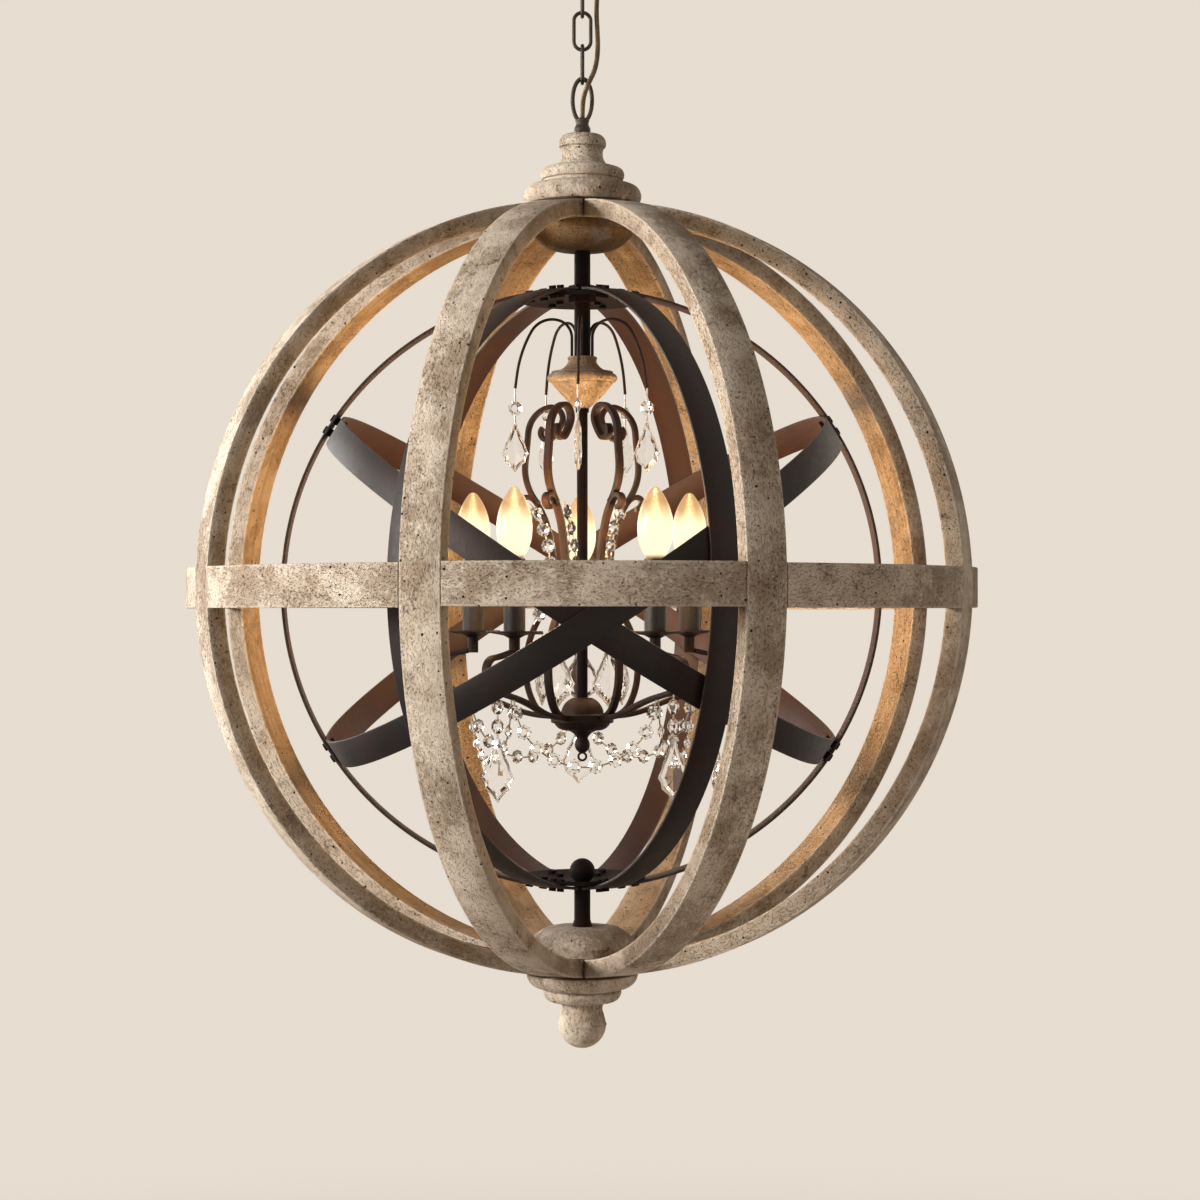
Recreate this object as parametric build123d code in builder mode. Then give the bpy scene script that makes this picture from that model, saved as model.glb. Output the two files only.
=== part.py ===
from build123d import *
from math import cos, radians, sin, sqrt, tan
import os

# Hanging lamp: a globe of wooden ribs round an iron armillary and a small crystal chandelier.
# Millimetres, +Z up. The origin is on the ceiling, above the lamp's axis; -Y is the front.

# Wooden globe
GLOBE_R = 400
POLE_SINK = 7.5
RIB_WIDTH = 40
RIB_THICK = 18
RIB_COUNT = 8
BAND_HEIGHT = 40
DOWEL_R = 3
DOWEL_GRIP = 14
BORE_SLACK = 0.2
FIT = 0.3

# Turned wood at the poles, heights counted from the ribs
CROWN_BASE_R = 60.5
CROWN_BASE_H = 20
CROWN_BASE_ROUND = 8
CROWN_STEP_R = 43
CROWN_STEP_H = 19
CROWN_STEP_ROUND = 6
CROWN_NECK_R = 22
CROWN_NECK_H = 19.5
CROWN_BEAD_R = 24.5
CROWN_BEAD_H = 13
EDGE_ROUND = 3
NECK_FLARE = 9
NECK_LIP = 1
DROP_BASE_R = 57
DROP_BASE_H = 15.5
DROP_BASE_ROUND = (2, 8, 11)
DROP_STEP_R = 40
DROP_STEP_H = 13.5
DROP_STEP_ROUND = (1.5, 7, 8)
DROP_NECK_R = 20.7
DROP_NECK_H = 12
DROP_BALL_R = 24.4
TOP_DISH_R = 51.6
TOP_DISH_FLAT_R = 36
BOTTOM_DISH_R = 53.8
BOTTOM_DISH_FLAT_R = 37
DISH_HEIGHT = 29.5
DISH_BULGE_R = 4
DISH_BULGE_Z = 8

# Stem
STEM_R = 8.25
THREAD_R = 5
INNER_STEM_R = 5.5
STEM_BORE_R = 3.2
STEM_FOOT_R = 10.5
STEM_FOOT_H = 7
STEM_STOP_H = 4

# Iron armillary
STRAP_WIDTH = 30
STRAP_THICK = 3
STEM_SHOWN = 39
HOOP_AZIMUTHS = (-90, -35, 24, 90, 155, 215)
HOOP_END_R = 30
HUB_R = 64
HUB_THICK = 3
HUB_BOLT_RADII = (40, 54)
TILT = 33
TILT_ROLL = 5.75
RING_BOLT_PITCH = 14
BOLT_R = 2.2
BOLT_HEAD_R = 4.2
BOLT_HEAD_H = 3
STEM_NUT_R = 14
STEM_NUT_H = 7
BALL_NUT_R = 12.9
BALL_NUT_H = 24

# Suspension
CANOPY_R = 62
CANOPY_DEPTH = 30
CANOPY_NECK_R = 24
CANOPY_LIP = 6
CANOPY_WALL = 1.2
BRACKET_LENGTH = 108
BRACKET_WIDTH = 20
BRACKET_THICK = 2
BOX_SCREW_SPACING = 88.9
BOX_SCREW_HOLE_R = 2.2
NIPPLE_NUT_R = 8.5
NIPPLE_NUT_H = 5
LOOP_COLLAR_R = 9
LOOP_COLLAR_H = 10
CANOPY_RING_R = 14
CANOPY_RING_WIRE = 5
RING_SINK = 0.5
LINK_LENGTH = 42
LINK_WIDTH = 21
LINK_WIRE = 3.8
LAMP_LOOP_LENGTH = 49
LAMP_LOOP_WIDTH = 24.5
LAMP_LOOP_WIRE = 4.6
LAMP_COLLAR_R = 9
LAMP_COLLAR_H = 17
LOOP_SINK = 6
CORD_R = 2.75
CORD_SLACK = 0.8
CORD_HOLE = (19, 6.5)
CORD_GRIP = 6
CORD_TAIL = 5
CORD_BEND_SHARE = 0.45
# Bends of the cord beside the chain: sideways, forwards or back, and height above the collar
CORD_BENDS = [
    (0, -0.5, 8),
    (1, -7, 21),
    (6, -11, 34),
    (13, -9, 48),
    (16, -3, 68),
    (15.5, 2, 90),
    (14.5, 6, 110),
    (15.5, 8, 131),
    (18, 7.5, 150),
]

# Crystal chandelier
LIGHT_COUNT = 5
SPINDLE_H = 53
SPINDLE_RIM_R = 35.8
SPINDLE_CAP_R = 15.3
SPINDLE_TIP_R = 6.8
SPINDLE_CAP_H = 5
SPINDLE_RIM_DROP = 17
SPINDLE_RIM_H = 8
SPINDLE_CHAMFER = 2
SPINDLE_COVE = (6, 5)
SPINDLE_TAPER = (20.9, 16)
BAR_THICK = 5
BAR_WIDTH = 8
BOWL_R = 32
BOWL_RIM_H = 6
BOWL_DOME_R = 21.8
BOWL_DOME_H = 26
BOWL_BALL_R = 7.7
BOWL_DROP = 30
BOWL_COLLAR = 2
BOWL_DOME_ROUND = (6.3, 6.5)
BOWL_BELLY = (25.5, 6.2)
BOWL_WAIST = (16.5, 10.5)
BOWL_TAPER = (9.3, 13.9)
BOWL_NECK_R = 5
BOWL_EYE_R = 4
BOWL_EYE_WIRE = 1.2
BOWL_EYE_DROP = 3
STEM_ENTRY = 4
CUP_NECK_R = 5.5
PAN_R = 28
PAN_THICK = 1.2
PAN_RISE = 3
PAN_FLARE = 4
PAN_SEAT = 1
PAN_NECK_H = 20
ARM_END_DROP = 18
SLEEVE_R = 10.75
SLEEVE_WALL = 1.25
SLEEVE_H = 74
SOCKET_R = 7.2
SOCKET_DEPTH = 25
CAP_R = 6.9
BULB_R = 17.5
BULB_H = 71
BULB_SEAT = 1.5
BULB_WIDEST = 25
BULB_SHOULDER = (14, 10)
BULB_FLAME = (15.2, 48)
BULB_TIP_R = 6
WIRE_R = 1.5
WIRE_ROOT_R = 11
WIRE_RISE = 19

# Bends of a wire and of one scroll arm: radius, and height from the globe's centre, as shares of the hoops' radius
SPINDLE_TOP_SHARE = 0.7745
BOWL_RIM_SHARE = -0.4281
CUP_SHARE = 0.3856
PAN_SHARE = -0.1503
WIRE_TIP_SHARE = (0.2301, 0.6634)
WIRE_ARCH_SHARES = [(0.0794, 0.8935), (0.1748, 0.8539), (0.2235, 0.7124)]
LYRE_HEADING = 47
LYRE_SHARES = [
    (0.1536, 0.2843),
    (0.1993, 0.4248),
    (0.1895, 0.5229),
    (0.1176, 0.6078),
    (0.0719, 0.5523),
    (0.1046, 0.5049),
    (0.1373, 0.5392),
]
BELLY_HEADING = 5
BELLY_SHARES = [
    (0.1699, -0.3856),
    (0.1961, -0.3007),
    (0.1487, -0.0964),
    (0.1013, 0.1078),
    (0.1242, 0.2157),
    (0.1601, 0.2876),
    (0.1895, 0.3072),
    (0.2124, 0.2876),
    (0.1895, 0.2663),
]
ARM_ROOT_SHARE = (0.2516, -0.3987)
ARM_SWAG_SHARE = (0.3987, -0.3520)
ARM_HANG_SHARE = (0.4771, -0.3343)
ARM_BEND_SHARES = [(0.5359, -0.2810), (0.5000, -0.2255)]
INNER_HANG_SHARE = (0.1405, -0.1503)
STRING_TOP_SHARE = (0.1634, 0.2745)
STRING_WAIST_SHARE = (0.1013, 0.1078)
STRING_FOOT_SHARE = (0.1503, -0.1111)
SMALL_LEAF_SHARE = (0.0915, 0.1634)
INNER_LEAF_SHARE = (0.1307, 0.1961)
LARGE_LEAF_SHARE = (0.1242, 0.2026)
INNER_PIN_SHARE = 0.0392
SWAG_SAG_SHARE = 0.947

# Crystals
BEAD_R = 7
BEAD_THICK = 5
BEAD_SIDE_COUNT = 8
PIN_R = 0.9
PIN_GAP = 0.5
LEAF_THICK = 8
LEAF_BEVEL = 35
# Side of a leaf from its top, as shares of its half width and its height
LEAF_SIDE = [(0.12, 0), (0.34, 0.16), (0.8, 0.3), (1, 0.52), (0.72, 0.74)]
UPPER_PIN = 13
UPPER_LINK = 8
LOWER_PIN = 5
INNER_PEG_R = 1.2
INNER_PEG_LENGTH = 12
SWAG_BEAD_COUNT = 10
SWAG_LEAD = 0.14
STRING_SIDE = 13
STRING_BEAD_COUNT = 7
STRING_LEAD = 0.07
THREAD_SIDE = 1.2

# Heights worked out from the ceiling downwards
RING_Z = -CANOPY_DEPTH - LOOP_COLLAR_H - CANOPY_RING_R + RING_SINK
RING_BOTTOM_Z = RING_Z - CANOPY_RING_R
LINK_RUN = LINK_LENGTH - LINK_WIRE
LINK_STEP = LINK_RUN - LINK_WIRE - FIT
LINK_1_Z = RING_BOTTOM_Z + (CANOPY_RING_WIRE + LINK_WIRE) / 2 + FIT - LINK_RUN / 2
LINK_Z = [LINK_1_Z - LINK_STEP * step for step in range(3)]
CHAIN_END_Z = LINK_Z[-1] - LINK_RUN / 2
LOOP_RUN = LAMP_LOOP_LENGTH - LAMP_LOOP_WIRE
LOOP_Z = CHAIN_END_Z + (LINK_WIRE + LAMP_LOOP_WIRE) / 2 + FIT - LOOP_RUN / 2
COLLAR_TOP_Z = LOOP_Z - LAMP_LOOP_LENGTH / 2 + LOOP_SINK
CROWN_H = CROWN_BASE_H + CROWN_STEP_H + CROWN_NECK_H + CROWN_BEAD_H
POLE_R = GLOBE_R - POLE_SINK
GLOBE_Z = COLLAR_TOP_Z - LAMP_COLLAR_H - CROWN_H - POLE_R

# Heights from the globe's centre
RIB_INNER_R = GLOBE_R - RIB_THICK
POLE_INNER_R = POLE_R - RIB_THICK
DISH_FLAT_Z = POLE_INNER_R - DISH_HEIGHT
CROWN_TOP = POLE_R + CROWN_H
HOOP_R = DISH_FLAT_Z - STEM_SHOWN
HOOP_INNER_R = HOOP_R - STRAP_THICK
HUB_OUTER_R = HOOP_INNER_R - FIT
OUTER_RING_R = sqrt((HOOP_INNER_R - FIT) ** 2 - (STRAP_WIDTH / 2) ** 2)
INNER_RING_R = sqrt((OUTER_RING_R - STRAP_THICK - FIT) ** 2 - (STRAP_WIDTH / 2) ** 2)
ARM_ANGLE = -54
SPRAY_ANGLE = -95
LIGHT_STEP = 360 / LIGHT_COUNT
RIB_STEP = 360 / RIB_COUNT
BOLT_REACH = 10 * STRAP_THICK


def in_hoops(*shares):
    """Lengths given as shares of the hoops' radius."""
    return tuple(share * HOOP_R for share in shares)


# The chandelier, sized to the hoops round it
SPINDLE_TOP, BOWL_RIM_Z, CUP_R, PAN_Z = in_hoops(SPINDLE_TOP_SHARE, BOWL_RIM_SHARE, CUP_SHARE, PAN_SHARE)
SPINDLE_TIP_Z = SPINDLE_TOP - SPINDLE_H
BOWL_TOP_Z = BOWL_RIM_Z + BOWL_DOME_H
STEM_BOTTOM_Z = BOWL_RIM_Z + STEM_ENTRY
SLEEVE_Z = PAN_Z + PAN_THICK / 2
BULB_Z = SLEEVE_Z + SLEEVE_H
NECK_BOTTOM_Z = PAN_Z - PAN_NECK_H
WIRE_TIP = in_hoops(*WIRE_TIP_SHARE)
WIRE_ARCH = [in_hoops(*place) for place in WIRE_ARCH_SHARES]
LYRE = [in_hoops(*place) for place in LYRE_SHARES]
BELLY = [in_hoops(*place) for place in BELLY_SHARES]
SWAG_R, ARM_SWAG_Z = in_hoops(*ARM_SWAG_SHARE)
LOWER_HANG_R, ARM_HANG_Z = in_hoops(*ARM_HANG_SHARE)
CANDLE_ARM = [
    (BOWL_R + FIT, BOWL_RIM_Z),
    in_hoops(*ARM_ROOT_SHARE),
    (SWAG_R, ARM_SWAG_Z),
    (LOWER_HANG_R, ARM_HANG_Z),
    *[in_hoops(*place) for place in ARM_BEND_SHARES],
    (CUP_R + CUP_NECK_R + BORE_SLACK, PAN_Z - ARM_END_DROP),
]
INNER_HANG_R, INNER_PEG_Z = in_hoops(*INNER_HANG_SHARE)
LOWER_HANG_Z = ARM_HANG_Z - BAR_THICK / 2
SWAG_Z = ARM_SWAG_Z - BAR_THICK / 2 - THREAD_SIDE / 2
STRING_TOP = in_hoops(*STRING_TOP_SHARE)
STRING_WAIST = in_hoops(*STRING_WAIST_SHARE)
STRING_FOOT = in_hoops(*STRING_FOOT_SHARE)
SMALL_LEAF = in_hoops(*SMALL_LEAF_SHARE)
INNER_LEAF = in_hoops(*INNER_LEAF_SHARE)
LARGE_LEAF = in_hoops(*LARGE_LEAF_SHARE)
INNER_PIN = INNER_PIN_SHARE * HOOP_R

# A sketch on this plane has the radius from the axis as x and the height from the centre as y
PROFILE = Plane(origin=(0, 0, GLOBE_Z), x_dir=(1, 0, 0), z_dir=(0, -1, 0))


def save(builder, name):
    builder.part.label = name
    export_step(builder.part, f"parts/{name}.step")


def turned_to(part, angle):
    with BuildPart() as placed:
        with PolarLocations(0, 1, start_angle=angle):
            add(part)
    return placed


def polar_copies(part, count, angle, radius=0):
    with BuildPart() as group:
        with PolarLocations(radius, count, start_angle=angle):
            add(part)
    return group


def tangent_run(points, direction):
    """Arcs through the points, each one tangent to the one before."""
    for start, end in zip(points, points[1:]):
        arc = TangentArc(start, end, tangent=direction)
        direction = arc % 1


def flat_bar(points, heading):
    """A flat bar bent along points given as radius and height, leaving the first one at a heading."""
    with BuildPart() as bar:
        with BuildSketch(PROFILE):
            with BuildLine() as run:
                tangent_run(points, Vector(cos(radians(heading)), sin(radians(heading))))
            trace(run.line, BAR_THICK)
        extrude(amount=BAR_WIDTH / 2, both=True)
    return bar


def oval_ring(length, width, wire, plane):
    """A round wire bent into an oval."""
    half = (width - wire) / 2
    reach = (length - wire) / 2 - half
    with BuildPart() as ring:
        with BuildLine(plane) as path:
            Line((half, -reach), (half, reach))
            ThreePointArc((half, reach), (0, reach + half), (-half, reach))
            Line((-half, reach), (-half, -reach))
            ThreePointArc((-half, -reach), (0, -reach - half), (half, -reach))
        with BuildSketch(path.line ^ 0):
            Circle(wire / 2)
        sweep()
    return ring


def leaf_outline(width, height, top):
    """Corners of a pointed, shouldered pendant hanging from its top."""
    right = [(out * width / 2, top - down * height) for out, down in LEAF_SIDE]
    left = [(-x, y) for x, y in reversed(right)]
    return [*right, (0, top - height), *left]


def pendant(plane, leaf, pins):
    """Pins, octagon beads and a leaf hanging down from the plane's origin."""
    with BuildPart() as drop:
        top = -PIN_GAP
        for index, length in enumerate(pins):
            with Locations(plane.location * Location((0, top - length / 2, 0), (90, 0, 0))):
                Cylinder(PIN_R, length)
            top -= length
            if index < len(pins) - 1:
                with BuildSketch(plane):
                    with Locations((0, top - BEAD_R)):
                        RegularPolygon(BEAD_R, BEAD_SIDE_COUNT, major_radius=False, rotation=180 / BEAD_SIDE_COUNT)
                extrude(amount=BEAD_THICK / 2, both=True)
                top -= 2 * BEAD_R
        with BuildSketch(plane):
            with BuildLine():
                Polyline(*leaf_outline(*leaf, top), close=True)
            make_face()
        extrude(amount=LEAF_THICK / 2, both=True, taper=LEAF_BEVEL)
    return drop


def bolt(grip):
    """Hexagon head, shank and nut, with the grip starting at the origin and running down."""
    with BuildPart() as piece:
        with BuildSketch():
            RegularPolygon(BOLT_HEAD_R, 6)
        extrude(amount=BOLT_HEAD_H)
        with BuildSketch():
            Circle(BOLT_R)
        extrude(amount=-grip)
        with BuildSketch(Plane.XY.offset(-grip)):
            RegularPolygon(BOLT_HEAD_R, 6)
        extrude(amount=-BOLT_HEAD_H)
    return piece


def radial_location(azimuth, polar_r, distance, pole):
    """Place on a sphere round the globe's centre, near its top or bottom pole, with Z pointing outwards."""
    side = polar_r / distance
    rise = pole * sqrt(1 - side ** 2)
    outward = Vector(sin(radians(azimuth)) * side, -cos(radians(azimuth)) * side, rise)
    return Plane(origin=Vector(0, 0, GLOBE_Z) + outward * distance, z_dir=outward).location


os.makedirs("parts", exist_ok=True)

# Ceiling bracket with its two box-screw holes
with BuildPart() as mounting_bracket:
    with BuildSketch():
        SlotOverall(BRACKET_LENGTH, BRACKET_WIDTH)
        with GridLocations(BOX_SCREW_SPACING, 0, 2, 1):
            Circle(BOX_SCREW_HOLE_R, mode=Mode.SUBTRACT)
        Circle(THREAD_R + BORE_SLACK, mode=Mode.SUBTRACT)
    extrude(amount=-BRACKET_THICK)
save(mounting_bracket, "mounting_bracket")

# Threaded tube with its lock nut, from the bracket down into the loop's collar
with BuildPart() as canopy_nipple:
    with BuildSketch(Plane.XY.offset(-FIT)):
        Circle(THREAD_R)
        Circle(STEM_BORE_R, mode=Mode.SUBTRACT)
    extrude(amount=-CANOPY_DEPTH - LOOP_COLLAR_H / 2)
    with BuildSketch(Plane.XY.offset(-BRACKET_THICK)):
        RegularPolygon(NIPPLE_NUT_R, 6)
        Circle(THREAD_R + BORE_SLACK, mode=Mode.SUBTRACT)
    extrude(amount=-NIPPLE_NUT_H)
save(canopy_nipple, "canopy_nipple")

# Canopy: a thin dished cup open to the ceiling
with BuildPart() as ceiling_canopy:
    with BuildSketch(Plane.XZ):
        with BuildLine():
            inner_r = CANOPY_R - CANOPY_WALL
            floor_z = -CANOPY_DEPTH + CANOPY_WALL
            hole_r = THREAD_R + BORE_SLACK
            Line((CANOPY_R, 0), (CANOPY_R, -CANOPY_LIP))
            RadiusArc((CANOPY_R, -CANOPY_LIP), (CANOPY_NECK_R, -CANOPY_DEPTH), CANOPY_R)
            Line((CANOPY_NECK_R, -CANOPY_DEPTH), (hole_r, -CANOPY_DEPTH))
            Line((hole_r, -CANOPY_DEPTH), (hole_r, floor_z))
            Line((hole_r, floor_z), (CANOPY_NECK_R, floor_z))
            RadiusArc((CANOPY_NECK_R, floor_z), (inner_r, -CANOPY_LIP), -CANOPY_R)
            Line((inner_r, -CANOPY_LIP), (inner_r, 0))
            Line((inner_r, 0), (CANOPY_R, 0))
        make_face()
    revolve(axis=Axis.Z)
    with Locations((*CORD_HOLE, -CANOPY_DEPTH)):
        Cylinder(CORD_R + FIT, 4 * CANOPY_WALL, mode=Mode.SUBTRACT)
save(ceiling_canopy, "ceiling_canopy")

# Loop under the canopy
with BuildPart() as canopy_loop:
    with BuildSketch(Plane.XY.offset(-CANOPY_DEPTH)):
        Circle(LOOP_COLLAR_R)
    extrude(amount=-LOOP_COLLAR_H)
    with Locations(Location((0, 0, RING_Z), (90, 0, 0))):
        Torus(CANOPY_RING_R, CANOPY_RING_WIRE / 2)
    with BuildSketch(Plane.XY.offset(-CANOPY_DEPTH)):
        Circle(THREAD_R + BORE_SLACK)
    extrude(amount=-LOOP_COLLAR_H / 2 - FIT, mode=Mode.SUBTRACT)
save(canopy_loop, "canopy_loop")

# Chain links, each turned a quarter from the one above
for number, link_z in enumerate(LINK_Z, start=1):
    across = (0, 1, 0) if number % 2 else (1, 0, 0)
    face = (1, 0, 0) if number % 2 else (0, -1, 0)
    link_plane = Plane(origin=(0, 0, link_z), x_dir=across, z_dir=face)
    save(oval_ring(LINK_LENGTH, LINK_WIDTH, LINK_WIRE, link_plane), f"chain_link_{number}")

# Lamp loop on its collar
loop_plane = Plane(origin=(0, 0, LOOP_Z), x_dir=(1, 0, 0), z_dir=(0, -1, 0))
lamp_ring = oval_ring(LAMP_LOOP_LENGTH, LAMP_LOOP_WIDTH, LAMP_LOOP_WIRE, loop_plane)
with BuildPart() as lamp_loop:
    add(lamp_ring.part)
    with BuildSketch(Plane.XY.offset(COLLAR_TOP_Z)):
        Circle(LAMP_COLLAR_R)
    extrude(amount=-LAMP_COLLAR_H)
    with BuildSketch(Plane.XY.offset(COLLAR_TOP_Z + LOOP_SINK)):
        Circle(CORD_R + CORD_SLACK)
    extrude(amount=-LAMP_COLLAR_H - LOOP_SINK, mode=Mode.SUBTRACT)
    with BuildSketch(Plane.XY.offset(COLLAR_TOP_Z - LAMP_COLLAR_H)):
        Circle(THREAD_R + BORE_SLACK)
    extrude(amount=LAMP_COLLAR_H / 2, mode=Mode.SUBTRACT)
save(lamp_loop, "lamp_loop")

# Electric cord from the collar, beside the chain, into the canopy
cord_points = [
    (0, 0, COLLAR_TOP_Z - CORD_GRIP),
    *[(x, y, COLLAR_TOP_Z + rise) for x, y, rise in CORD_BENDS],
    (*CORD_HOLE, -CANOPY_DEPTH - CORD_TAIL),
    (*CORD_HOLE, -CANOPY_DEPTH + CORD_TAIL),
]
cord_vectors = [Vector(*point) for point in cord_points]
cord_radii = []
for before, at, after in zip(cord_vectors, cord_vectors[1:], cord_vectors[2:]):
    shorter = min((at - before).length, (after - at).length)
    turn = (at - before).get_angle(after - at)
    cord_radii.append(CORD_BEND_SHARE * shorter / tan(radians(turn / 2)))
with BuildPart() as supply_cord:
    with BuildLine() as cord_path:
        FilletPolyline(*cord_points, radius=cord_radii)
    with BuildSketch(cord_path.line ^ 0):
        Circle(CORD_R)
    sweep()
save(supply_cord, "supply_cord")

# Turned crown on top of the ribs
with BuildPart() as top_finial:
    with BuildSketch(PROFILE):
        with BuildLine():
            step_z = POLE_R + CROWN_BASE_H
            neck_z = step_z + CROWN_STEP_H
            bead_z = neck_z + CROWN_NECK_H
            bore_r = THREAD_R + BORE_SLACK
            flare_r = CROWN_NECK_R + NECK_FLARE
            Line((bore_r, POLE_R), (CROWN_BASE_R - EDGE_ROUND, POLE_R))
            ThreePointArc(
                (CROWN_BASE_R - EDGE_ROUND, POLE_R),
                (CROWN_BASE_R, POLE_R + CROWN_BASE_H / 2),
                (CROWN_BASE_R - CROWN_BASE_ROUND, step_z),
            )
            Line((CROWN_BASE_R - CROWN_BASE_ROUND, step_z), (CROWN_STEP_R - CROWN_STEP_ROUND, step_z))
            ThreePointArc(
                (CROWN_STEP_R - CROWN_STEP_ROUND, step_z),
                (CROWN_STEP_R, step_z + CROWN_STEP_H / 2),
                (CROWN_STEP_R - CROWN_STEP_ROUND, neck_z),
            )
            Line((CROWN_STEP_R - CROWN_STEP_ROUND, neck_z), (flare_r, neck_z))
            ThreePointArc(
                (flare_r, neck_z),
                (CROWN_NECK_R, neck_z + CROWN_NECK_H / 2),
                (CROWN_NECK_R + NECK_LIP, bead_z),
            )
            ThreePointArc(
                (CROWN_NECK_R + NECK_LIP, bead_z),
                (CROWN_BEAD_R, bead_z + CROWN_BEAD_H / 2),
                (CROWN_NECK_R, CROWN_TOP),
            )
            Line((CROWN_NECK_R, CROWN_TOP), (bore_r, CROWN_TOP))
            Line((bore_r, CROWN_TOP), (bore_r, POLE_R))
        make_face()
    revolve(axis=Axis.Z)
save(top_finial, "top_finial")


def dish(rim_r, flat_r):
    """A turned dish that seats against the ribs from inside the top pole."""
    seat_r = POLE_INNER_R - FIT
    shoulder_r = rim_r - EDGE_ROUND
    bore_r = THREAD_R + BORE_SLACK
    rim_z = POLE_INNER_R - DISH_HEIGHT / 2
    shoulder_z = sqrt(seat_r ** 2 - (shoulder_r - POLE_SINK) ** 2)
    bore_z = sqrt(seat_r ** 2 - (bore_r - POLE_SINK) ** 2)
    with BuildPart() as piece:
        with BuildSketch(PROFILE):
            with BuildLine():
                Line((bore_r, DISH_FLAT_Z), (flat_r, DISH_FLAT_Z))
                ThreePointArc((flat_r, DISH_FLAT_Z), (rim_r - DISH_BULGE_R, rim_z - DISH_BULGE_Z), (rim_r, rim_z))
                Line((rim_r, rim_z), (shoulder_r, shoulder_z))
                RadiusArc((shoulder_r, shoulder_z), (bore_r, bore_z), -seat_r)
                Line((bore_r, bore_z), (bore_r, DISH_FLAT_Z))
            make_face()
        revolve(axis=Axis.Z)
    return piece


save(dish(TOP_DISH_R, TOP_DISH_FLAT_R), "top_dish")
with BuildPart() as bottom_dish:
    mirror(dish(BOTTOM_DISH_R, BOTTOM_DISH_FLAT_R).part, about=Plane.XY.offset(GLOBE_Z))
save(bottom_dish, "bottom_dish")

# Wooden ribs: half rings bent round a point just outside the axis, so that the poles lie a little nearer the
# centre than the equator; mitred to one another at both poles and bored for the stem
with BuildPart() as rib_blank:
    with BuildSketch(PROFILE):
        with Locations((POLE_SINK, 0)):
            Circle(POLE_R)
            Circle(POLE_INNER_R, mode=Mode.SUBTRACT)
        Rectangle(GLOBE_R, 2 * GLOBE_R, align=(Align.MAX, Align.CENTER), mode=Mode.SUBTRACT)
    extrude(amount=RIB_WIDTH / 2, both=True)
    with BuildSketch(Plane.XY.offset(GLOBE_Z)):
        with BuildLine():
            mitre = 2 * GLOBE_R * tan(radians(180 / RIB_COUNT))
            Polyline((0, 0), (2 * GLOBE_R, -mitre), (2 * GLOBE_R, mitre), close=True)
        make_face()
    extrude(amount=GLOBE_R, both=True, mode=Mode.INTERSECT)
    with Locations((0, 0, GLOBE_Z)):
        Cylinder(THREAD_R + BORE_SLACK, 2 * GLOBE_R, mode=Mode.SUBTRACT)
    with Locations(Location((GLOBE_R - RIB_THICK / 2, 0, GLOBE_Z), (90, 0, 0))):
        Cylinder(DOWEL_R + BORE_SLACK, RIB_WIDTH, mode=Mode.SUBTRACT)
for number in range(RIB_COUNT):
    save(turned_to(rib_blank.part, -90 + RIB_STEP * (number + 0.5)), f"rib_{number + 1}")

# Equator band: a curved segment between each pair of ribs, dowelled to both
with BuildPart() as band_segments:
    with BuildSketch(Plane.XY.offset(GLOBE_Z)):
        Circle(GLOBE_R)
        Circle(RIB_INNER_R, mode=Mode.SUBTRACT)
        with PolarLocations(0, RIB_COUNT, start_angle=RIB_STEP / 2):
            Rectangle(2 * GLOBE_R, RIB_WIDTH, align=(Align.MIN, Align.CENTER), mode=Mode.SUBTRACT)
    extrude(amount=BAND_HEIGHT / 2, both=True)
    with Locations((0, 0, GLOBE_Z)):
        with PolarLocations(GLOBE_R - RIB_THICK / 2, RIB_COUNT, start_angle=RIB_STEP / 2):
            Cylinder(
                DOWEL_R + BORE_SLACK,
                RIB_WIDTH + 2 * DOWEL_GRIP,
                rotation=(90, 0, 0),
                mode=Mode.SUBTRACT,
            )
save(band_segments, "band_segments")

with BuildPart() as band_dowels:
    with Locations((0, 0, GLOBE_Z)):
        with PolarLocations(GLOBE_R - RIB_THICK / 2, RIB_COUNT, start_angle=RIB_STEP / 2):
            Cylinder(DOWEL_R, RIB_WIDTH + 2 * DOWEL_GRIP - 2 * FIT, rotation=(90, 0, 0))
save(band_dowels, "band_dowels")

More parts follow.
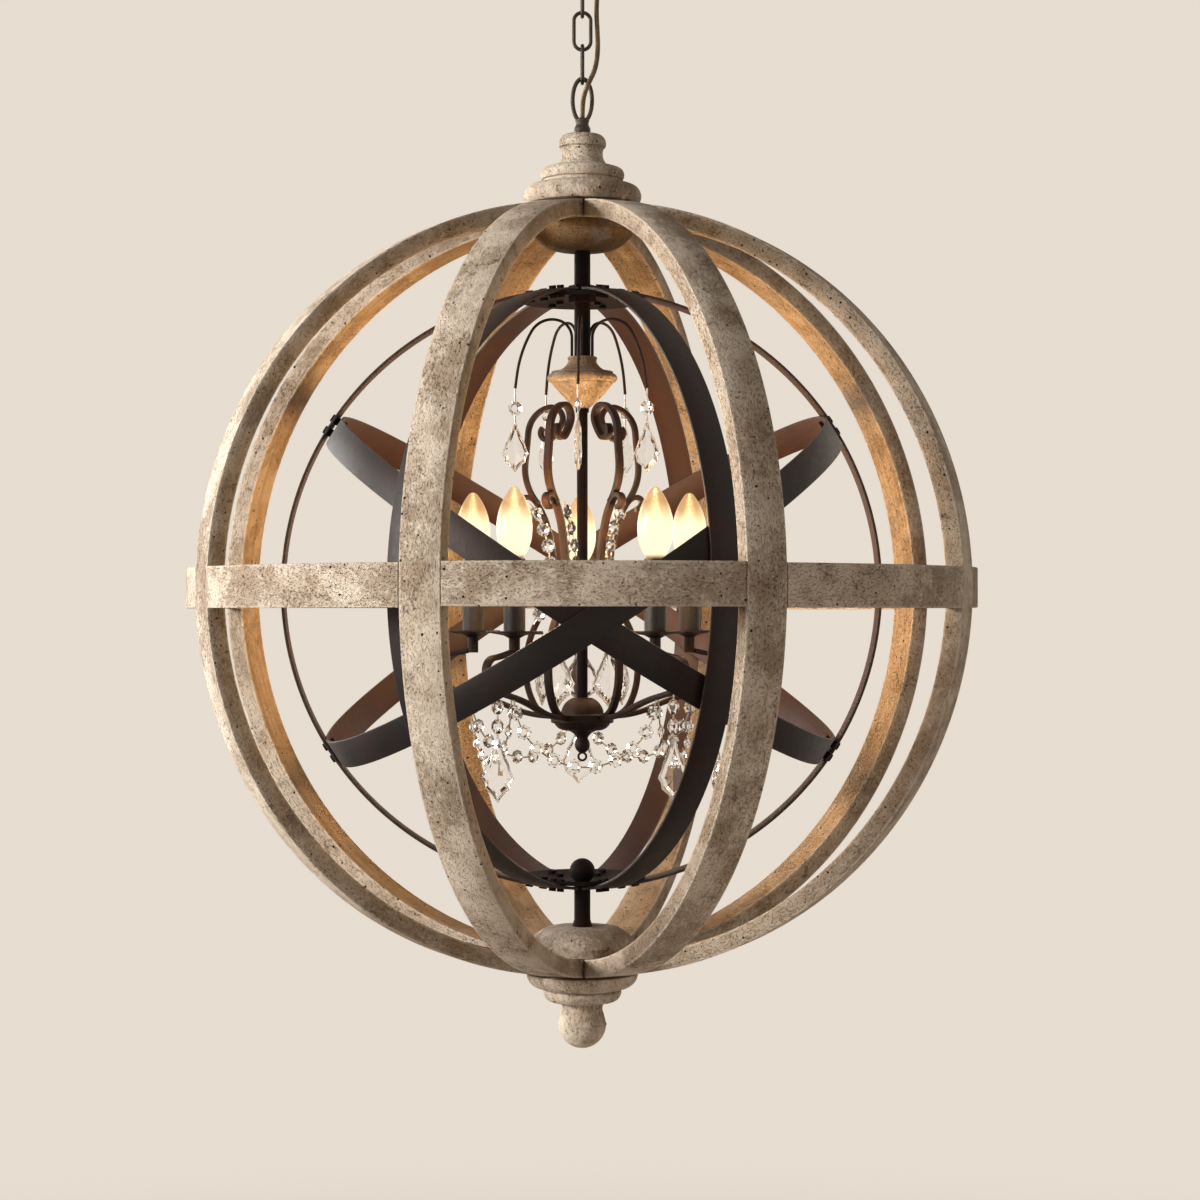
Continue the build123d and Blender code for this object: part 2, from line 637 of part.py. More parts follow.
# Turned drop under the bottom pole, with a blind bore for the lower stem
with BuildPart() as bottom_finial:
    with BuildSketch(PROFILE):
        with BuildLine():
            step_z = -POLE_R - DROP_BASE_H
            neck_z = step_z - DROP_STEP_H
            ball_z = neck_z - DROP_NECK_H
            ball_rise = sqrt(DROP_BALL_R ** 2 - (DROP_NECK_R + NECK_LIP) ** 2)
            ball_centre = ball_z - ball_rise
            drop_end = ball_centre - DROP_BALL_R
            bore_end = ball_centre
            bore_r = THREAD_R + BORE_SLACK
            base_in, base_down, base_end = DROP_BASE_ROUND
            step_in, step_down, step_end = DROP_STEP_ROUND
            Line((bore_r, -POLE_R), (DROP_BASE_R, -POLE_R))
            ThreePointArc(
                (DROP_BASE_R, -POLE_R),
                (DROP_BASE_R - base_in, -POLE_R - base_down),
                (DROP_BASE_R - base_end, step_z),
            )
            Line((DROP_BASE_R - base_end, step_z), (DROP_STEP_R, step_z))
            ThreePointArc(
                (DROP_STEP_R, step_z),
                (DROP_STEP_R - step_in, step_z - step_down),
                (DROP_STEP_R - step_end, neck_z),
            )
            Line((DROP_STEP_R - step_end, neck_z), (DROP_NECK_R + EDGE_ROUND, neck_z))
            ThreePointArc(
                (DROP_NECK_R + EDGE_ROUND, neck_z),
                (DROP_NECK_R, neck_z - DROP_NECK_H / 2),
                (DROP_NECK_R + NECK_LIP, ball_z),
            )
            ThreePointArc(
                (DROP_NECK_R + NECK_LIP, ball_z),
                (DROP_BALL_R, ball_centre),
                (0, drop_end),
            )
            Line((0, drop_end), (0, bore_end))
            Line((0, bore_end), (bore_r, bore_end))
            Line((bore_r, bore_end), (bore_r, -POLE_R))
        make_face()
    revolve(axis=Axis.Z)
save(bottom_finial, "bottom_finial")

# Stem: thread through the crown, tube to the spindle, thin rod down into the bowl
with BuildPart() as stem_tube:
    with BuildSketch(PROFILE):
        with BuildLine():
            thread_top = CROWN_TOP + LAMP_COLLAR_H / 2 - FIT
            stop_r = SPINDLE_TIP_R
            Polyline(
                (STEM_BORE_R, thread_top),
                (THREAD_R, thread_top),
                (THREAD_R, DISH_FLAT_Z),
                (STEM_R, DISH_FLAT_Z),
                (STEM_R, SPINDLE_TOP),
                (INNER_STEM_R, SPINDLE_TOP),
                (INNER_STEM_R, SPINDLE_TIP_Z),
                (stop_r, SPINDLE_TIP_Z),
                (stop_r, SPINDLE_TIP_Z - STEM_STOP_H),
                (INNER_STEM_R, SPINDLE_TIP_Z - STEM_STOP_H),
                (INNER_STEM_R, STEM_BOTTOM_Z),
                (STEM_BORE_R, STEM_BOTTOM_Z),
                close=True,
            )
        make_face()
    revolve(axis=Axis.Z)
save(stem_tube, "stem_tube")

# Lower stem: thread into the drop, tube with a flared foot, thread for the ball nut
with BuildPart() as lower_stem:
    with BuildSketch(PROFILE):
        with BuildLine():
            foot_z = -DISH_FLAT_Z
            Polyline(
                (0, bore_end + FIT),
                (THREAD_R, bore_end + FIT),
                (THREAD_R, foot_z),
                (STEM_FOOT_R, foot_z),
                (STEM_R, foot_z + STEM_FOOT_H),
                (STEM_R, -HUB_OUTER_R),
                (THREAD_R, -HUB_OUTER_R),
                (THREAD_R, -HUB_OUTER_R + HUB_THICK + BALL_NUT_H / 2),
                (0, -HUB_OUTER_R + HUB_THICK + BALL_NUT_H / 2),
                close=True,
            )
        make_face()
    revolve(axis=Axis.Z)
save(lower_stem, "lower_stem")

with BuildPart() as ball_nut:
    with BuildSketch(PROFILE):
        with BuildLine():
            nut_z = -HUB_OUTER_R + HUB_THICK + BORE_SLACK / 2
            thread_end = nut_z + BALL_NUT_H / 2 + FIT
            nut_centre = nut_z + BALL_NUT_H - BALL_NUT_R
            nut_base_r = sqrt(BALL_NUT_R ** 2 - (nut_centre - nut_z) ** 2)
            bore_r = THREAD_R + BORE_SLACK
            Line((bore_r, nut_z), (nut_base_r, nut_z))
            ThreePointArc((nut_base_r, nut_z), (BALL_NUT_R, nut_centre), (0, nut_z + BALL_NUT_H))
            Line((0, nut_z + BALL_NUT_H), (0, thread_end))
            Line((0, thread_end), (bore_r, thread_end))
            Line((bore_r, thread_end), (bore_r, nut_z))
        make_face()
    revolve(axis=Axis.Z)
save(ball_nut, "ball_nut")


def hub_bolt_seats(pole):
    return [
        radial_location(azimuth, polar_r, HOOP_R, pole)
        for azimuth in HOOP_AZIMUTHS
        for polar_r in HUB_BOLT_RADII
    ]


def ring_plane(tilt):
    """Plane of a ring whose diameter is tilted across the front and whose front edge is rolled down."""
    along = Vector(cos(radians(tilt)), 0, sin(radians(tilt)))
    up = Vector(-sin(radians(tilt)), 0, cos(radians(tilt)))
    roll = radians(TILT_ROLL)
    return Plane(
        origin=(0, 0, GLOBE_Z),
        x_dir=along,
        z_dir=up * cos(roll) + Vector(0, -1, 0) * sin(roll),
    )


def ring_bolt_seats(tilt):
    """The two bolts at each end of a tilted ring, through the side hoops."""
    seats = []
    for end in (0, 180):
        for shift in (-RING_BOLT_PITCH / 2, RING_BOLT_PITCH / 2):
            angle = radians(tilt + end) + shift / HOOP_R
            outward = Vector(cos(angle), 0, sin(angle))
            origin = Vector(0, 0, GLOBE_Z) + outward * HOOP_R
            seats.append(Plane(origin=origin, z_dir=outward).location)
    return seats


outer_seats = ring_bolt_seats(TILT)
inner_seats = ring_bolt_seats(-TILT)


def hub_plate():
    """A dished round plate that nests inside the hoops at the top pole."""
    inner = HUB_OUTER_R - HUB_THICK
    with BuildPart() as plate:
        with BuildSketch(PROFILE):
            with BuildLine():
                rim_top = sqrt(HUB_OUTER_R ** 2 - HUB_R ** 2)
                rim_bottom = sqrt(inner ** 2 - HUB_R ** 2)
                Line((0, inner), (0, HUB_OUTER_R))
                RadiusArc((0, HUB_OUTER_R), (HUB_R, rim_top), HUB_OUTER_R)
                Line((HUB_R, rim_top), (HUB_R, rim_bottom))
                RadiusArc((HUB_R, rim_bottom), (0, inner), -inner)
            make_face()
        revolve(axis=Axis.Z)
        with Locations(*hub_bolt_seats(1)):
            Cylinder(BOLT_R + BORE_SLACK, BOLT_REACH, mode=Mode.SUBTRACT)
    return plate


hub_blank = hub_plate()
with BuildPart() as top_hub:
    add(hub_blank.part)
    with Locations((0, 0, GLOBE_Z + HUB_OUTER_R)):
        Cylinder(STEM_R + BORE_SLACK, 4 * HUB_THICK, mode=Mode.SUBTRACT)
save(top_hub, "top_hub")

with BuildPart() as bottom_hub:
    mirror(hub_blank.part, about=Plane.XY.offset(GLOBE_Z))
    with Locations((0, 0, GLOBE_Z - HUB_OUTER_R)):
        Cylinder(THREAD_R + BORE_SLACK, 4 * HUB_THICK, mode=Mode.SUBTRACT)
save(bottom_hub, "bottom_hub")

# Six half hoops of strap, each bolted to both hubs
with BuildPart() as hoop_blank:
    with BuildSketch(PROFILE):
        Circle(HOOP_R)
        Circle(HOOP_INNER_R, mode=Mode.SUBTRACT)
        with Locations((HOOP_END_R, 0)):
            Rectangle(HOOP_R, 2 * HOOP_R, align=(Align.MIN, Align.CENTER), mode=Mode.INTERSECT)
    extrude(amount=STRAP_WIDTH / 2, both=True)
with BuildPart() as meridian_hoops:
    for azimuth in HOOP_AZIMUTHS:
        with PolarLocations(0, 1, start_angle=azimuth - 90):
            add(hoop_blank.part)
    with Locations(*hub_bolt_seats(1), *hub_bolt_seats(-1), *outer_seats, *inner_seats):
        Cylinder(BOLT_R + BORE_SLACK, BOLT_REACH, mode=Mode.SUBTRACT)
save(meridian_hoops, "meridian_hoops")

# Two tilted rings: the outer one lies against the side hoops, the inner one stands off on spacers
for name, outer_r, tilt, seats in (
    ("tilted_ring_outer", OUTER_RING_R, TILT, outer_seats),
    ("tilted_ring_inner", INNER_RING_R, -TILT, inner_seats),
):
    with BuildPart() as tilted_ring:
        with BuildSketch(ring_plane(tilt)):
            Circle(outer_r)
            Circle(outer_r - STRAP_THICK, mode=Mode.SUBTRACT)
        extrude(amount=STRAP_WIDTH / 2, both=True)
        with Locations(*seats):
            Cylinder(BOLT_R + BORE_SLACK, BOLT_REACH, mode=Mode.SUBTRACT)
    save(tilted_ring, name)

# Bolts through hoops, hubs and rings, the inner ring's spacers, and the two nuts that grip the top hub
hub_bolt = bolt(HOOP_R - HUB_OUTER_R + HUB_THICK + BORE_SLACK)
outer_bolt = bolt(HOOP_R - OUTER_RING_R + STRAP_THICK + BORE_SLACK)
inner_bolt = bolt(HOOP_R - INNER_RING_R + STRAP_THICK + BORE_SLACK)
with BuildPart() as spacer:
    with BuildSketch(Plane.XY.offset(-STRAP_THICK - BORE_SLACK)):
        Circle(BOLT_HEAD_R)
        Circle(BOLT_R + BORE_SLACK, mode=Mode.SUBTRACT)
    extrude(amount=INNER_RING_R - HOOP_INNER_R + 2 * BORE_SLACK)
with BuildPart() as stem_nut:
    with BuildSketch(Plane.XY.offset(GLOBE_Z + HUB_OUTER_R)):
        RegularPolygon(STEM_NUT_R, 6)
        Circle(STEM_R + BORE_SLACK, mode=Mode.SUBTRACT)
    extrude(amount=STEM_NUT_H)
nut_under_hub = sqrt((HUB_OUTER_R - HUB_THICK) ** 2 - STEM_NUT_R ** 2) - STEM_NUT_H
with BuildPart() as cage_fasteners:
    with Locations(*hub_bolt_seats(1), *hub_bolt_seats(-1)):
        add(hub_bolt.part)
    with Locations(*outer_seats):
        add(outer_bolt.part)
    with Locations(*inner_seats):
        add(inner_bolt.part)
        add(spacer.part)
    with Locations((0, 0, 0), (0, 0, nut_under_hub - HUB_OUTER_R)):
        add(stem_nut.part)
save(cage_fasteners, "cage_fasteners")

# Turned spindle on the stem
with BuildPart() as turned_spindle:
    with BuildSketch(PROFILE):
        with BuildLine():
            bore_r = INNER_STEM_R + BORE_SLACK
            cap_z = SPINDLE_TOP - SPINDLE_CAP_H
            rim_z = SPINDLE_TOP - SPINDLE_RIM_DROP
            rim_foot = rim_z - SPINDLE_RIM_H
            taper_r, taper_h = SPINDLE_TAPER
            cove_r, cove_h = SPINDLE_COVE
            edge_r = SPINDLE_RIM_R - SPINDLE_CHAMFER
            Line((bore_r, SPINDLE_TOP), (SPINDLE_CAP_R, SPINDLE_TOP))
            Line((SPINDLE_CAP_R, SPINDLE_TOP), (SPINDLE_CAP_R, cap_z))
            ThreePointArc(
                (SPINDLE_CAP_R, cap_z),
                (SPINDLE_CAP_R + cove_r, rim_z + cove_h),
                (edge_r, rim_z),
            )
            Line((edge_r, rim_z), (SPINDLE_RIM_R, rim_z - SPINDLE_CHAMFER))
            Line((SPINDLE_RIM_R, rim_z - SPINDLE_CHAMFER), (SPINDLE_RIM_R, rim_foot))
            ThreePointArc(
                (SPINDLE_RIM_R, rim_foot),
                (taper_r, rim_foot - taper_h),
                (SPINDLE_TIP_R, SPINDLE_TIP_Z),
            )
            Line((SPINDLE_TIP_R, SPINDLE_TIP_Z), (bore_r, SPINDLE_TIP_Z))
            Line((bore_r, SPINDLE_TIP_Z), (bore_r, SPINDLE_TOP))
        make_face()
    revolve(axis=Axis.Z)
save(turned_spindle, "turned_spindle")


def on_profile(radius, height):
    """A point at a radius from the axis, in front of +X, at a height from the globe's centre."""
    return Vector(radius, 0, GLOBE_Z + height)


# Spray of wires: each rises beside the stem, arches over and hangs down outside
wire_points = [(WIRE_ROOT_R, SPINDLE_TOP + WIRE_RISE), *WIRE_ARCH, WIRE_TIP]
with BuildPart() as spray_wire:
    with BuildLine() as hook:
        Line(on_profile(WIRE_ROOT_R, SPINDLE_TOP), on_profile(*wire_points[0]))
        tangent_run([on_profile(*point) for point in wire_points], Vector(0, 0, 1))
    with BuildSketch(hook.line ^ 0):
        Circle(WIRE_R)
    sweep()
save(polar_copies(spray_wire.part, LIGHT_COUNT, SPRAY_ANGLE), "spray_wires")

# Scroll arms: a lyre above, a belly scroll below it, and the candle arm, welded into one
lyre_bar = flat_bar(LYRE, LYRE_HEADING)
belly_bar = flat_bar([(BOWL_R + FIT, BOWL_RIM_Z), *BELLY], BELLY_HEADING)
candle_bar = flat_bar(CANDLE_ARM, 0)
with BuildPart() as scroll_arm:
    add(lyre_bar.part)
    add(belly_bar.part)
    add(candle_bar.part)
    with Locations(Location(on_profile(INNER_HANG_R - 1, INNER_PEG_Z), (0, 90, 0))):
        Cylinder(INNER_PEG_R, INNER_PEG_LENGTH, align=(Align.CENTER, Align.CENTER, Align.MIN))
save(polar_copies(scroll_arm.part, LIGHT_COUNT, ARM_ANGLE), "scroll_arms")

# Bowl at the foot of the stem
with BuildPart() as bottom_bowl:
    with BuildSketch(PROFILE):
        with BuildLine():
            bore_r = INNER_STEM_R + BORE_SLACK
            rim_top = BOWL_RIM_Z + BOWL_RIM_H / 2
            rim_bottom = BOWL_RIM_Z - BOWL_RIM_H / 2
            ball_top = BOWL_RIM_Z - BOWL_DROP + BOWL_BALL_R
            ball_bottom = ball_top - 2 * BOWL_BALL_R
            bore_end = STEM_BOTTOM_Z - FIT
            collar_r = bore_r + BOWL_COLLAR
            dome_in, dome_down = BOWL_DOME_ROUND
            dome_side = (BOWL_DOME_R - dome_in, BOWL_TOP_Z - dome_down)
            belly_r, belly_down = BOWL_BELLY
            waist_r, waist_down = BOWL_WAIST
            waist = (waist_r, rim_bottom - waist_down)
            taper_r, taper_down = BOWL_TAPER
            Line((bore_r, BOWL_TOP_Z), (collar_r, BOWL_TOP_Z))
            ThreePointArc((collar_r, BOWL_TOP_Z), dome_side, (BOWL_DOME_R, rim_top))
            Line((BOWL_DOME_R, rim_top), (BOWL_R, rim_top))
            Line((BOWL_R, rim_top), (BOWL_R, rim_bottom))
            ThreePointArc((BOWL_R, rim_bottom), (belly_r, rim_bottom - belly_down), waist)
            ThreePointArc(waist, (taper_r, rim_bottom - taper_down), (BOWL_NECK_R, ball_top))
            ThreePointArc((BOWL_NECK_R, ball_top), (BOWL_BALL_R, ball_top - BOWL_BALL_R), (0, ball_bottom))
            Line((0, ball_bottom), (0, bore_end))
            Line((0, bore_end), (bore_r, bore_end))
            Line((bore_r, bore_end), (bore_r, BOWL_TOP_Z))
        make_face()
    revolve(axis=Axis.Z)
    with Locations(Location((0, 0, GLOBE_Z + ball_bottom - BOWL_EYE_DROP), (90, 0, 0))):
        Torus(BOWL_EYE_R, BOWL_EYE_WIRE)
save(bottom_bowl, "bottom_bowl")

# Candle cups: a drip pan with the neck that the arm holds
with BuildPart() as drip_pan:
    with BuildSketch(PROFILE):
        with BuildLine():
            Polyline(
                (0, NECK_BOTTOM_Z),
                (CUP_NECK_R, NECK_BOTTOM_Z),
                (CUP_NECK_R, PAN_Z - PAN_FLARE),
                (SLEEVE_R, PAN_Z - PAN_THICK),
                (PAN_R, PAN_Z + PAN_RISE - PAN_THICK),
                (PAN_R, PAN_Z + PAN_RISE),
                (SLEEVE_R + PAN_SEAT, PAN_Z + PAN_THICK / 2),
                (0, PAN_Z + PAN_THICK / 2),
                close=True,
            )
        make_face()
    revolve(axis=Axis.Z)
save(polar_copies(drip_pan.part, LIGHT_COUNT, ARM_ANGLE, CUP_R), "drip_pans")

with BuildPart() as candle_sleeve:
    with BuildSketch(Plane.XY.offset(GLOBE_Z + SLEEVE_Z)):
        Circle(SLEEVE_R)
        Circle(SLEEVE_R - SLEEVE_WALL, mode=Mode.SUBTRACT)
    extrude(amount=SLEEVE_H)
save(polar_copies(candle_sleeve.part, LIGHT_COUNT, ARM_ANGLE, CUP_R), "candle_sleeves")

with BuildPart() as lampholder:
    with BuildSketch(Plane.XY.offset(GLOBE_Z + SLEEVE_Z)):
        Circle(SLEEVE_R - SLEEVE_WALL - BORE_SLACK)
    extrude(amount=SLEEVE_H - FIT)
    with BuildSketch(Plane.XY.offset(GLOBE_Z + BULB_Z)):
        Circle(SOCKET_R)
    extrude(amount=-SOCKET_DEPTH, mode=Mode.SUBTRACT)
save(polar_copies(lampholder.part, LIGHT_COUNT, ARM_ANGLE, CUP_R), "lampholders")

# Candle bulbs with their screw caps
with BuildPart() as bulb:
    with BuildSketch(PROFILE):
        with BuildLine():
            cap_bottom = BULB_Z - SOCKET_DEPTH + FIT
            shoulder = BULB_Z + FIT
            Line((0, cap_bottom), (CAP_R, cap_bottom))
            Line((CAP_R, cap_bottom), (CAP_R, shoulder))
            Line((CAP_R, shoulder), (CAP_R + BULB_SEAT, shoulder))
            shoulder_r, shoulder_h = BULB_SHOULDER
            flame_r, flame_h = BULB_FLAME
            widest = (BULB_R, BULB_Z + BULB_WIDEST)
            tip_z = BULB_Z + BULB_H - BULB_TIP_R
            tip_side = (BULB_TIP_R * cos(radians(30)), tip_z + BULB_TIP_R * sin(radians(30)))
            tip_rise = (BULB_TIP_R * cos(radians(60)), tip_z + BULB_TIP_R * sin(radians(60)))
            ThreePointArc((CAP_R + BULB_SEAT, shoulder), (shoulder_r, BULB_Z + shoulder_h), widest)
            ThreePointArc(widest, (flame_r, BULB_Z + flame_h), tip_side)
            ThreePointArc(tip_side, tip_rise, (0, BULB_Z + BULB_H))
            Line((0, BULB_Z + BULB_H), (0, cap_bottom))
        make_face()
    revolve(axis=Axis.Z)
for number in range(LIGHT_COUNT):
    angle = ARM_ANGLE + LIGHT_STEP * number
    save(polar_copies(bulb.part, 1, angle, CUP_R), f"bulb_{number + 1}")

# Pendants: the upper ones hang edge-on from the wires, the others face outwards under the arms
edge_on = Plane(origin=on_profile(*WIRE_TIP), x_dir=(1, 0, 0), z_dir=(0, -1, 0))
inner_face = Plane(
    origin=on_profile(INNER_HANG_R, INNER_PEG_Z - INNER_PEG_R), x_dir=(0, 1, 0), z_dir=(1, 0, 0)
)
lower_face = Plane(origin=on_profile(LOWER_HANG_R, LOWER_HANG_Z), x_dir=(0, 1, 0), z_dir=(1, 0, 0))
upper_drop = pendant(edge_on, SMALL_LEAF, (UPPER_PIN, UPPER_LINK))
inner_drop = pendant(inner_face, INNER_LEAF, (INNER_PIN,))
lower_drop = pendant(lower_face, LARGE_LEAF, (LOWER_PIN, LOWER_PIN, LOWER_PIN))
for name, drop, first_angle in (
    ("upper_pendant", upper_drop, SPRAY_ANGLE),
    ("inner_pendant", inner_drop, ARM_ANGLE),
    ("lower_pendant", lower_drop, ARM_ANGLE),
):
    for number in range(LIGHT_COUNT):
        save(turned_to(drop.part, first_angle + LIGHT_STEP * number), f"{name}_{number + 1}")


def bead_chain(start, middle, end, count, lead, normal):
    """Octagon beads, after a bare lead, on a thread that follows an arc; they face along the normal."""
    with BuildPart() as chain:
        with BuildLine() as thread:
            arc = ThreePointArc(start, middle, end)
        with BuildSketch(Plane(origin=arc @ 0, x_dir=normal, z_dir=arc % 0)):
            Rectangle(THREAD_SIDE, THREAD_SIDE)
        sweep(path=thread.line)
        for index in range(count):
            place = lead + (1 - 2 * lead) * index / (count - 1)
            with BuildSketch(Plane(origin=arc @ place, x_dir=arc % place, z_dir=normal)):
                RegularPolygon(BEAD_R, BEAD_SIDE_COUNT, major_radius=False, rotation=180 / BEAD_SIDE_COUNT)
            extrude(amount=BEAD_THICK / 2, both=True)
    return chain


# Swags of beads from arm to arm, and strings of beads beside the belly scrolls
half_step = radians(LIGHT_STEP / 2)
swag_x = SWAG_R * cos(half_step)
swag_y = SWAG_R * sin(half_step) - BAR_WIDTH / 4
swag = bead_chain(
    Vector(swag_x, -swag_y, GLOBE_Z + SWAG_Z),
    Vector(swag_x, 0, GLOBE_Z + SWAG_Z - SWAG_SAG_SHARE * swag_y),
    Vector(swag_x, swag_y, GLOBE_Z + SWAG_Z),
    SWAG_BEAD_COUNT,
    SWAG_LEAD,
    Vector(1, 0, 0),
)
aside = Vector(0, STRING_SIDE, 0)
string = bead_chain(
    on_profile(*STRING_TOP) + aside,
    on_profile(*STRING_WAIST) + aside,
    on_profile(*STRING_FOOT) + aside,
    STRING_BEAD_COUNT,
    STRING_LEAD,
    Vector(0, 1, 0),
)
tie_length = STRING_SIDE - BAR_WIDTH / 2 - FIT
with BuildPart() as tied_string:
    add(string.part)
    with Locations(on_profile(*STRING_TOP) + aside, on_profile(*STRING_FOOT) + aside):
        Box(THREAD_SIDE, tie_length, THREAD_SIDE, align=(Align.CENTER, Align.MAX, Align.CENTER))
with BuildPart() as bead_garlands:
    with PolarLocations(0, LIGHT_COUNT, start_angle=ARM_ANGLE + LIGHT_STEP / 2):
        add(swag.part)
    with PolarLocations(0, LIGHT_COUNT, start_angle=ARM_ANGLE):
        add(tied_string.part)
save(bead_garlands, "bead_garlands")
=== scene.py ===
# %% [markdown]
# # A wooden globe chandelier
# The lamp is a globe of whitewashed wooden ribs. Inside it is an iron armillary, and inside that a small
# chandelier with crystals and candle lights. The solids come in as a fixed frame. This lesson dresses
# them: it gives each piece its finish, and remakes finely what the solids only give plainly.

# %% Load the frame
from math import acos, atan2, cos, hypot, pi, radians, sin, sqrt, tan

import bmesh
import bpy
from mathutils import Matrix, Vector


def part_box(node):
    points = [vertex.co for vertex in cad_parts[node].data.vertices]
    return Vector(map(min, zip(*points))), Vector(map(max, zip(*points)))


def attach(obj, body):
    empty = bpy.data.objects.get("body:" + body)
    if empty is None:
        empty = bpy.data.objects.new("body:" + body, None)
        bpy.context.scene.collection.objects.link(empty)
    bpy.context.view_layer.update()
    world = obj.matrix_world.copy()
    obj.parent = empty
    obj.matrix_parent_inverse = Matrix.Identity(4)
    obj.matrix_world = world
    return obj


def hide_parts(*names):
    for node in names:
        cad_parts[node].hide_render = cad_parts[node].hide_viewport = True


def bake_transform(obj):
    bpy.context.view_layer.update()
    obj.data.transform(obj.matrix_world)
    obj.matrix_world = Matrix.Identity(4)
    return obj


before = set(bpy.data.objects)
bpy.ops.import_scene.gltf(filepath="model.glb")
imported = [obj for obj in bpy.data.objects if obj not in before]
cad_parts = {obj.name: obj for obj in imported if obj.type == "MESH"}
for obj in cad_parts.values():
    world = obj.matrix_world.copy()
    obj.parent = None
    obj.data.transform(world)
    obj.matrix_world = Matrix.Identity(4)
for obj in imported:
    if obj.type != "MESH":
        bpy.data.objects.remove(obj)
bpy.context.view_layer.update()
MM = 0.001
band_low, band_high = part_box("band_segments")
GLOBE_Z = (band_low.z + band_high.z) / 2
CENTRE = Vector((0, 0, GLOBE_Z))
AT_CENTRE = Matrix.Translation(CENTRE)
print("globe centre", round(GLOBE_Z, 4), "pieces", len(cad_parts))


def metres(*values):
    """Sizes are written in millimetres, as a maker reads them."""
    return tuple(value * MM for value in values)


def add_object(name, data):
    """A new object in the scene."""
    added = bpy.data.objects.new(name, data)
    bpy.context.collection.objects.link(added)
    return added


# %% [markdown]
# ## Nodes from plain formulas
# Finishes and rules are node trees. They could be drawn by hand, but then no one could repeat or change
# them from this text. One helper adds any node: its settings go first, then the values or links of its
# sockets. A small class wraps a socket, so that arithmetic on it adds Math nodes and a finish reads as a
# formula.

# %% Sockets and nodes
class Wire:
    """An output socket; arithmetic on it adds Math nodes to its tree."""

    def __init__(self, tree, socket):
        self.tree = tree
        self.socket = socket

    def math(self, operation, *inputs):
        return add_node(self.tree, "ShaderNodeMath", {"operation": operation}, dict(enumerate(inputs)))

    def __add__(self, other):
        return self.math("ADD", self, other)

    __radd__ = __add__

    def __mul__(self, other):
        return self.math("MULTIPLY", self, other)

    __rmul__ = __mul__

    def __sub__(self, other):
        return self.math("SUBTRACT", self, other)

    def __rsub__(self, other):
        return self.math("SUBTRACT", other, self)

    def __abs__(self):
        return self.math("ABSOLUTE", self)

    def over(self, low, high):
        """0 below low, 1 above high, smooth between."""
        return add_node(
            self.tree, "ShaderNodeMapRange", {"interpolation_type": "SMOOTHSTEP"},
            {"Value": self, "From Min": low, "From Max": high},
        )


def fill_sockets(tree, node, sockets):
    """Give a node's inputs their values or links."""
    for name, value in sockets.items():
        if isinstance(value, Wire):
            tree.links.new(value.socket, node.inputs[name])
        else:
            node.inputs[name].default_value = value


def add_node(tree, kind, settings=None, sockets=None, output=0):
    """Add a node, its settings first, and give back one of its outputs."""
    node = tree.nodes.new(kind)
    for name, value in (settings or {}).items():
        setattr(node, name, value)
    fill_sockets(tree, node, sockets or {})
    return Wire(tree, node.outputs[output])


def split(wire):
    """All the outputs of a wire's node."""
    return [Wire(wire.tree, socket) for socket in wire.socket.node.outputs]


# %% Colours and finishes
MIX_FACTOR, MIX_FIRST, MIX_SECOND, MIX_COLOUR = 0, 6, 7, 2


def mix(factor, first, second):
    """Mix two colours; a Mix node has its colour sockets after those for numbers and vectors."""
    sockets = {MIX_FACTOR: factor, MIX_FIRST: first, MIX_SECOND: second}
    return add_node(factor.tree, "ShaderNodeMix", {"data_type": "RGBA"}, sockets, MIX_COLOUR)


def rgba(red, green, blue):
    return (red, green, blue, 1)


def spaced(sockets):
    """Socket names as the nodes spell them, with spaces."""
    return {name.replace("_", " "): value for name, value in sockets.items()}


class NodeTree:
    """A node tree that one method fills."""

    def node(self, kind, settings=None, output=0, **sockets):
        return add_node(self.tree, kind, settings, spaced(sockets), output)

    def parts(self, vector):
        """The three numbers of a vector."""
        return split(self.node("ShaderNodeSeparateXYZ", Vector=vector))


class Finish(NodeTree):
    """A material with its tree, its surface coordinates and its shader."""

    def __init__(self, name):
        self.material = bpy.data.materials.new(name)
        self.material.use_nodes = True
        self.tree = self.material.node_tree
        self.shader = self.tree.nodes["Principled BSDF"]
        self.place = self.node("ShaderNodeTexCoord", output="Object")

    def attribute(self, name, output="Vector"):
        return self.node("ShaderNodeAttribute", {"attribute_name": name}, output)

    def noise(self, place, scale=1, detail=4, roughness=0.6):
        return self.node("ShaderNodeTexNoise", Vector=place, Scale=scale, Detail=detail, Roughness=roughness)

    def stretched(self, place, along, across):
        return self.node("ShaderNodeMapping", Vector=place, Scale=(along, across, across))

    def bump(self, height, depth):
        return self.node("ShaderNodeBump", Height=height, Distance=depth, Strength=1.0)

    def surface(self, **sockets):
        fill_sockets(self.tree, self.shader, spaced(sockets))
        return self.material


# %% [markdown]
# ## Rules for bent pieces
# Ribs, band pieces, iron straps, wires and scrolls are all one section carried along a path. Each could
# be extruded by hand. Three Geometry Nodes trees make them all from named sizes instead: one bends a bar
# into an arc, one carries a bar along a drawn line, and one does the same with a wire. Each result
# becomes a plain mesh that keeps its place along and across the bar, for the grain.

# %% Geometry Nodes helper
SEED_ALONG, SEED_ACROSS = 0.731, 0.377
SHARP = 30


